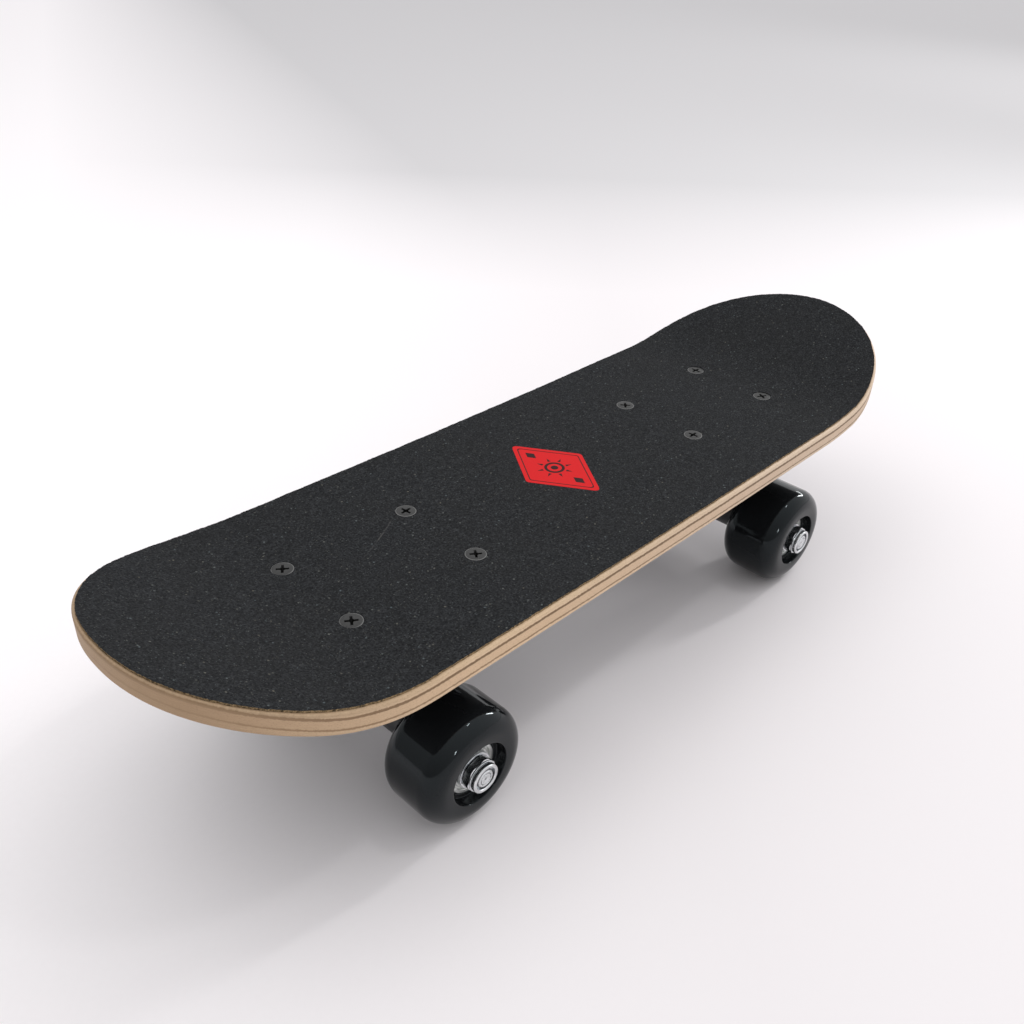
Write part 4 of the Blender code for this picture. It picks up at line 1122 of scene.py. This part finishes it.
def baseplate_mesh():
    # In the truck's frame: plate, kingpin boss, pivot housing, the web between them and two ribs
    steer = place(*STEER_POINT, (0.0, -STEER_TILT, 0.0))
    lower = -BASE_GAP - BASE_SIZE[2]
    inside = lower + 1.0
    boss = [(0.0, BOSS_FOOT[1]), BOSS_FOOT, BOSS_SHOULDER, (BOSS_RADIUS, BOSS_SEAT + 1.0),
            (BOSS_RADIUS, BOSS_SEAT), (0.0, BOSS_SEAT)]
    housing = disc(HOUSING_RADIUS, PIVOT_REACH + CUP_DEPTH + 2.0, PIVOT_REACH - 4.2, 1.2)
    web = [(2.0, inside), (33.0, inside), (31.0, -14.0), (24.0, -21.0), (18.5, -19.5), (10.0, -11.0),
           (2.0, -9.0)]
    rib = [(-32.0, inside), (6.0, inside), (6.0, -9.0), (-10.0, -10.5), (-27.0, -10.5)]
    outline = rounded_rectangle(BASE_SIZE[0], BASE_SIZE[1], BASE_CORNER)
    parts = [
        (prism("plate", outline, lower, BASE_SIZE[2]), IDENTITY),
        (lathe("boss", boss, ROUND_STEPS), steer),
        (lathe("housing", housing, ROUND_STEPS), steer @ Z_TO_X),
        (prism("web", web, -BASE_WEB_HALF, BASE_WEB_HALF), FACING_Y),
    ]
    parts += [(prism("rib", rib, y - RIB_HALF, y + RIB_HALF), FACING_Y) for y in (-RIB_Y, RIB_Y)]
    skin = cast_skin("baseplate", parts)
    head_seat = KINGPIN_HEAD[0] - SEAT_GAP
    bore = disc(CUP_BORE, PIVOT_REACH + CUP_DEPTH + 0.3, PIVOT_REACH - 8.0)
    cuts = [
        (prism("deck_side", [(2 * x, 2 * y) for x, y in outline], -BASE_GAP, 30.0), IDENTITY),
        (lathe("kingpin_hole", disc(KINGPIN_BORE, head_seat + 1.0, 10.0)), steer),
        (lathe("head_recess", disc(HEAD_RECESS, 36.0, head_seat)), steer),
        (lathe("cup_bore", bore, ROUND_STEPS), steer @ Z_TO_X),
    ]
    hole = lathe("bolt_hole", disc(BOLT_HOLE_RADIUS, -0.1, -4 * BASE_SIZE[2]), 48)
    return carved("baseplate", skin, cuts + [(hole, place(x, y, 0.0)) for x, y in bolt_places()], 30.0)


def board_bushing():
    # A barrel, fullest in the middle
    high, low = BOARD_BUSHING
    swell = (high - low) / 3
    full, end = BUSHING_RADIUS + 0.3, BUSHING_RADIUS - 0.7
    points = [(end, high), (full, high - swell), (full, low + swell), (end, low), (BUSHING_BORE, low),
              (BUSHING_BORE, high)]
    return lathe("bushing_board", softened(points, 1.1, 5, True), ROUND_STEPS, True)


def road_bushing():
    # A cone, narrower towards the kingpin's nut
    high, low = ROAD_BUSHING
    points = [(BUSHING_RADIUS, high), (BUSHING_RADIUS, high - 2.0), (BUSHING_RADIUS - 1.8, low),
              (BUSHING_BORE, low), (BUSHING_BORE, high)]
    return lathe("bushing_road", softened(points, 0.8, 5, True), ROUND_STEPS, True)


def cup_washer(name, seat, back, outer):
    # Its lip is turned away from its back, round the bushing's end
    lip, inner = seat + math.copysign(WASHER_LIP, seat - back), outer - WASHER_WALL
    points = [(outer, back), (outer, lip), (inner, lip), (inner, seat), (KINGPIN_BORE, seat),
              (KINGPIN_BORE, back)]
    return lathe(name, softened(points, 0.35, 4, True), ROUND_STEPS, True)


def kingpin_mesh():
    top = KINGPIN_HEAD[0] + 1.0
    rings = turned([(0.0, top), (KINGPIN_RADIUS, top), (KINGPIN_RADIUS, -10.0)], THREAD_STEPS)
    rings += threaded(KINGPIN_RADIUS, -11.0, KINGPIN_END + 0.7, *KINGPIN_THREAD)
    rings += turned([(KINGPIN_RADIUS - 0.75, KINGPIN_END), (0.0, KINGPIN_END)], THREAD_STEPS)
    shank = ring_mesh("kingpin_shank", rings, False, 28.0)
    corner = KINGPIN_NUT[0] / 2 / math.cos(math.pi / 6)
    head = lathe("kingpin_head", disc(corner, KINGPIN_HEAD[1], KINGPIN_HEAD[0], 0.5), 6)
    return joined("kingpin", [(shank, IDENTITY), (head, IDENTITY)])


def cup_mesh():
    mouth, bottom = 3.7 - PIVOT_REACH, -PIVOT_REACH - CUP_DEPTH
    ball = arc((0.0, -PIVOT_REACH), PIVOT_BALL + 0.3, -90.0, 0.0, 8)
    points = [(0.0, ball[0][1]), *ball[1:], (NOSE_RADIUS + 0.4, mouth), (CUP_RADIUS, mouth),
              (CUP_RADIUS, bottom), (0.0, bottom)]
    return lathe("pivot_cup", softened(points, 0.35, 3))


def axle_mesh():
    # Threaded at both ends, whose faces have a hole in the middle and a groove round it
    hole = [(0.0, 0.45), (0.45, 0.4), (0.95, 0.05), (1.2, 0.0)]
    groove = [(2.15, 0.0), (2.3, 0.1), (2.35, 0.4), (2.6, 0.4), (2.7, 0.1), (2.8, 0.05)]
    face = hole + groove + [(AXLE_RADIUS - 0.6, 0.1)]
    rings = turned([(radius, AXLE_END - sink) for radius, sink in face], THREAD_STEPS)
    rings += threaded(AXLE_RADIUS, AXLE_END - 0.7, HUB_HALF_TRACK + BEARING_FACE + 0.5, *AXLE_THREAD)
    rings += [[(x, y, -z) for x, y, z in ring] for ring in rings[::-1]]
    return ring_mesh("axle", rings, False, 28.0)


def axle_washer_mesh():
    radius, thickness = AXLE_WASHER
    points = [(radius, thickness), (radius, 0.0), (AXLE_NUT_BORE, 0.0), (AXLE_NUT_BORE, thickness)]
    return lathe("axle_washer", softened(points, 0.2, 3, True), ROUND_STEPS, True)


def shared_meshes():
    return {
        "bushing_board": board_bushing(),
        "bushing_road": road_bushing(),
        "cup_washer_board": cup_washer("cup_washer_board", BOARD_BUSHING[0] + SEAT_GAP, BOSS_SEAT - SEAT_GAP,
                                       BOSS_RADIUS),
        "cup_washer_road": cup_washer("cup_washer_road", ROAD_BUSHING[1] - SEAT_GAP,
                                      KINGPIN_NUT_TOP + SEAT_GAP, BUSHING_RADIUS - 0.5),
        "bolt": bolt_mesh(),
        "lock_nut": nut_mesh("lock_nut", *LOCK_NUT, BOLT_RADIUS + 0.1, LOCK_COLLAR),
        "lock_nylon": lathe("lock_nylon", nylon_ring(), 48, True),
        "hanger": hanger_mesh(),
        "baseplate": baseplate_mesh(),
        "kingpin": kingpin_mesh(),
        "kingpin_nut": nut_mesh("kingpin_nut", *KINGPIN_NUT, KINGPIN_RADIUS + 0.1),
        "pivot_cup": cup_mesh(),
        "axle": axle_mesh(),
        "axle_washer": axle_washer_mesh(),
        "axle_nut": nut_mesh("axle_nut", *AXLE_NUT, AXLE_RADIUS + 0.05, AXLE_COLLAR, AXLE_FLANGE,
                             AXLE_NUT_CORNER),
        "wheel": wheel_mesh(),
        "bearing": bearing_mesh(),
    }


def add_truck(end, side):
    truck, steer = truck_matrix(side), steer_matrix(side)
    turning = end + "_truck"
    dress(end + "_baseplate", "cast", "baseplate", "truck", "deck", truck)
    for name, (outer, inner) in (("board", BOARD_BUSHING), ("road", ROAD_BUSHING[::-1])):
        # Squeezed between its washer on the deck's side and the hanger, which turns
        grip = math.copysign(BUSHING_GRIP, outer)
        held = [(steer @ place(0.0, 0.0, z)).translation for z in (outer - grip, inner + grip)]
        bushing, washer = "bushing_" + name, "cup_washer_" + name
        dress(f"{end}_{bushing}", "cast", bushing, "bushing", ("deck", turning, *held), steer)
        dress(f"{end}_{washer}", "steel", washer, "zinc", "deck", steer)
    dress(end + "_kingpin", "steel", "kingpin", "zinc", "deck", steer)
    dress(end + "_kingpin_nut", "steel", "kingpin_nut", "zinc", "deck",
          steer @ place(0.0, 0.0, KINGPIN_NUT_TOP - KINGPIN_NUT[1], (0.0, 0.0, math.pi / 6)))
    dress(end + "_pivot_cup", "rubber", "pivot_cup", "rubber", "deck", steer @ Z_TO_MINUS_X)
    dress(end + "_hanger", "cast", "hanger", "truck", turning, steer)
    dress(end + "_axle", "steel", "axle", "axle", turning, steer @ place(*AXLE) @ Z_TO_Y)


# Wheels

def wheel_mesh():
    half = WHEEL_WIDTH / 2
    ledge = BEARING_FACE - BEARING_WIDTH - SEAT_GAP
    shoulder = arc((WHEEL_RADIUS - WHEEL_SHOULDER, half - WHEEL_SHOULDER), WHEEL_SHOULDER, 90.0, 0.0, 16)
    inner = [(HUB_BORE, 0.0), (HUB_BORE, ledge), (BEARING_SEAT, ledge), (BEARING_SEAT, BEARING_FACE - 0.2),
             (RECESS_RADIUS - 0.3, BEARING_FACE - 0.2), (RECESS_RADIUS, half), shoulder[0]]
    upper = softened(inner, 0.4, 4)[1:] + shoulder[1:]
    return lathe("wheel", both_sides(upper), 160, True)


def bearing_mesh():
    # Rings with chamfered edges, and a pressed shield between them on the outward face
    half = BEARING_WIDTH / 2
    rim, bore, inner, outer = BEARING_RADIUS, BEARING_BORE, INNER_RING_RADIUS, OUTER_RING_RADIUS
    back = [(rim - 0.4, half), (rim, half - 0.4), (rim, -half + 0.4), (rim - 0.4, -half), (outer, -half),
            (outer - 0.2, -half + 0.5), (inner + 0.2, -half + 0.5), (inner, -half), (bore + 0.3, -half)]
    front = [(bore, -half + 0.3), (bore, half - 0.3), (bore + 0.3, half), (inner, half)]
    shield = [(inner + 0.05, half - 0.9), (inner + 0.35, half - 0.9), (inner + 0.4, half - 0.45),
              (inner + 0.9, half - 0.35), (outer - 0.95, half - 0.35), (outer - 0.6, half - 0.6),
              (outer - 0.5, half - 1.1), (outer - 0.02, half - 1.1), (outer + 0.05, half - 0.15)]
    return lathe("bearing", back + front + shield + [(outer + 0.2, half)], 128, True, 25.0)


def add_wheel(end, side, hand, way):
    # way is 1 on the board's left and -1 on its right
    body, turning = f"{end}_{hand}_wheel", end + "_truck"
    middle = (steer_matrix(side) @ place(*AXLE)).translation
    hub = Matrix.Translation(middle) @ place(0.0, way * HUB_HALF_TRACK, 0.0)
    outward = place(0, 0, 0, (-QUARTER * way, 0.0, 0.0))
    inward = place(0, 0, 0, (QUARTER * way, 0.0, 0.0))
    add_piece(body + "_moulding", MESHES["wheel"], ["wheel"], body, [f"{end}_wheel_{hand}"], hub @ outward)
    inset = way * (BEARING_FACE - BEARING_WIDTH / 2)
    for spot, turn, y in (("outer", outward, inset), ("inner", inward, -inset)):
        dress(f"{end}_bearing_{hand}_{spot}", "rings", "bearing", "bearing", body,
              hub @ place(0.0, y, 0.0) @ turn)
    face = BEARING_FACE + SEAT_GAP
    dress(f"{end}_axle_washer_{hand}", "steel", "axle_washer", "zinc", turning,
          hub @ place(0.0, way * face, 0.0) @ outward)
    seat = face + AXLE_WASHER[1] + SEAT_GAP
    dress(f"{end}_axle_nut_{hand}", "steel", "axle_nut", "zinc", turning,
          hub @ place(0.0, way * seat, 0.0) @ outward @ place(0, 0, 0, (0.0, 0.0, NUT_TURN)))


def build():
    bpy.context.scene.view_settings.view_transform = "Standard"
    add_camera()
    add_floor()
    add_world()
    add_lamps()
    SURFACES.update(all_surfaces())
    add_board()
    add_badge()
    MESHES.update(shared_meshes())
    for end, side in ENDS:
        add_bolts(end, side)
        add_truck(end, side)
        for hand, way in (("left", 1), ("right", -1)):
            add_wheel(end, side, hand, way)


build()
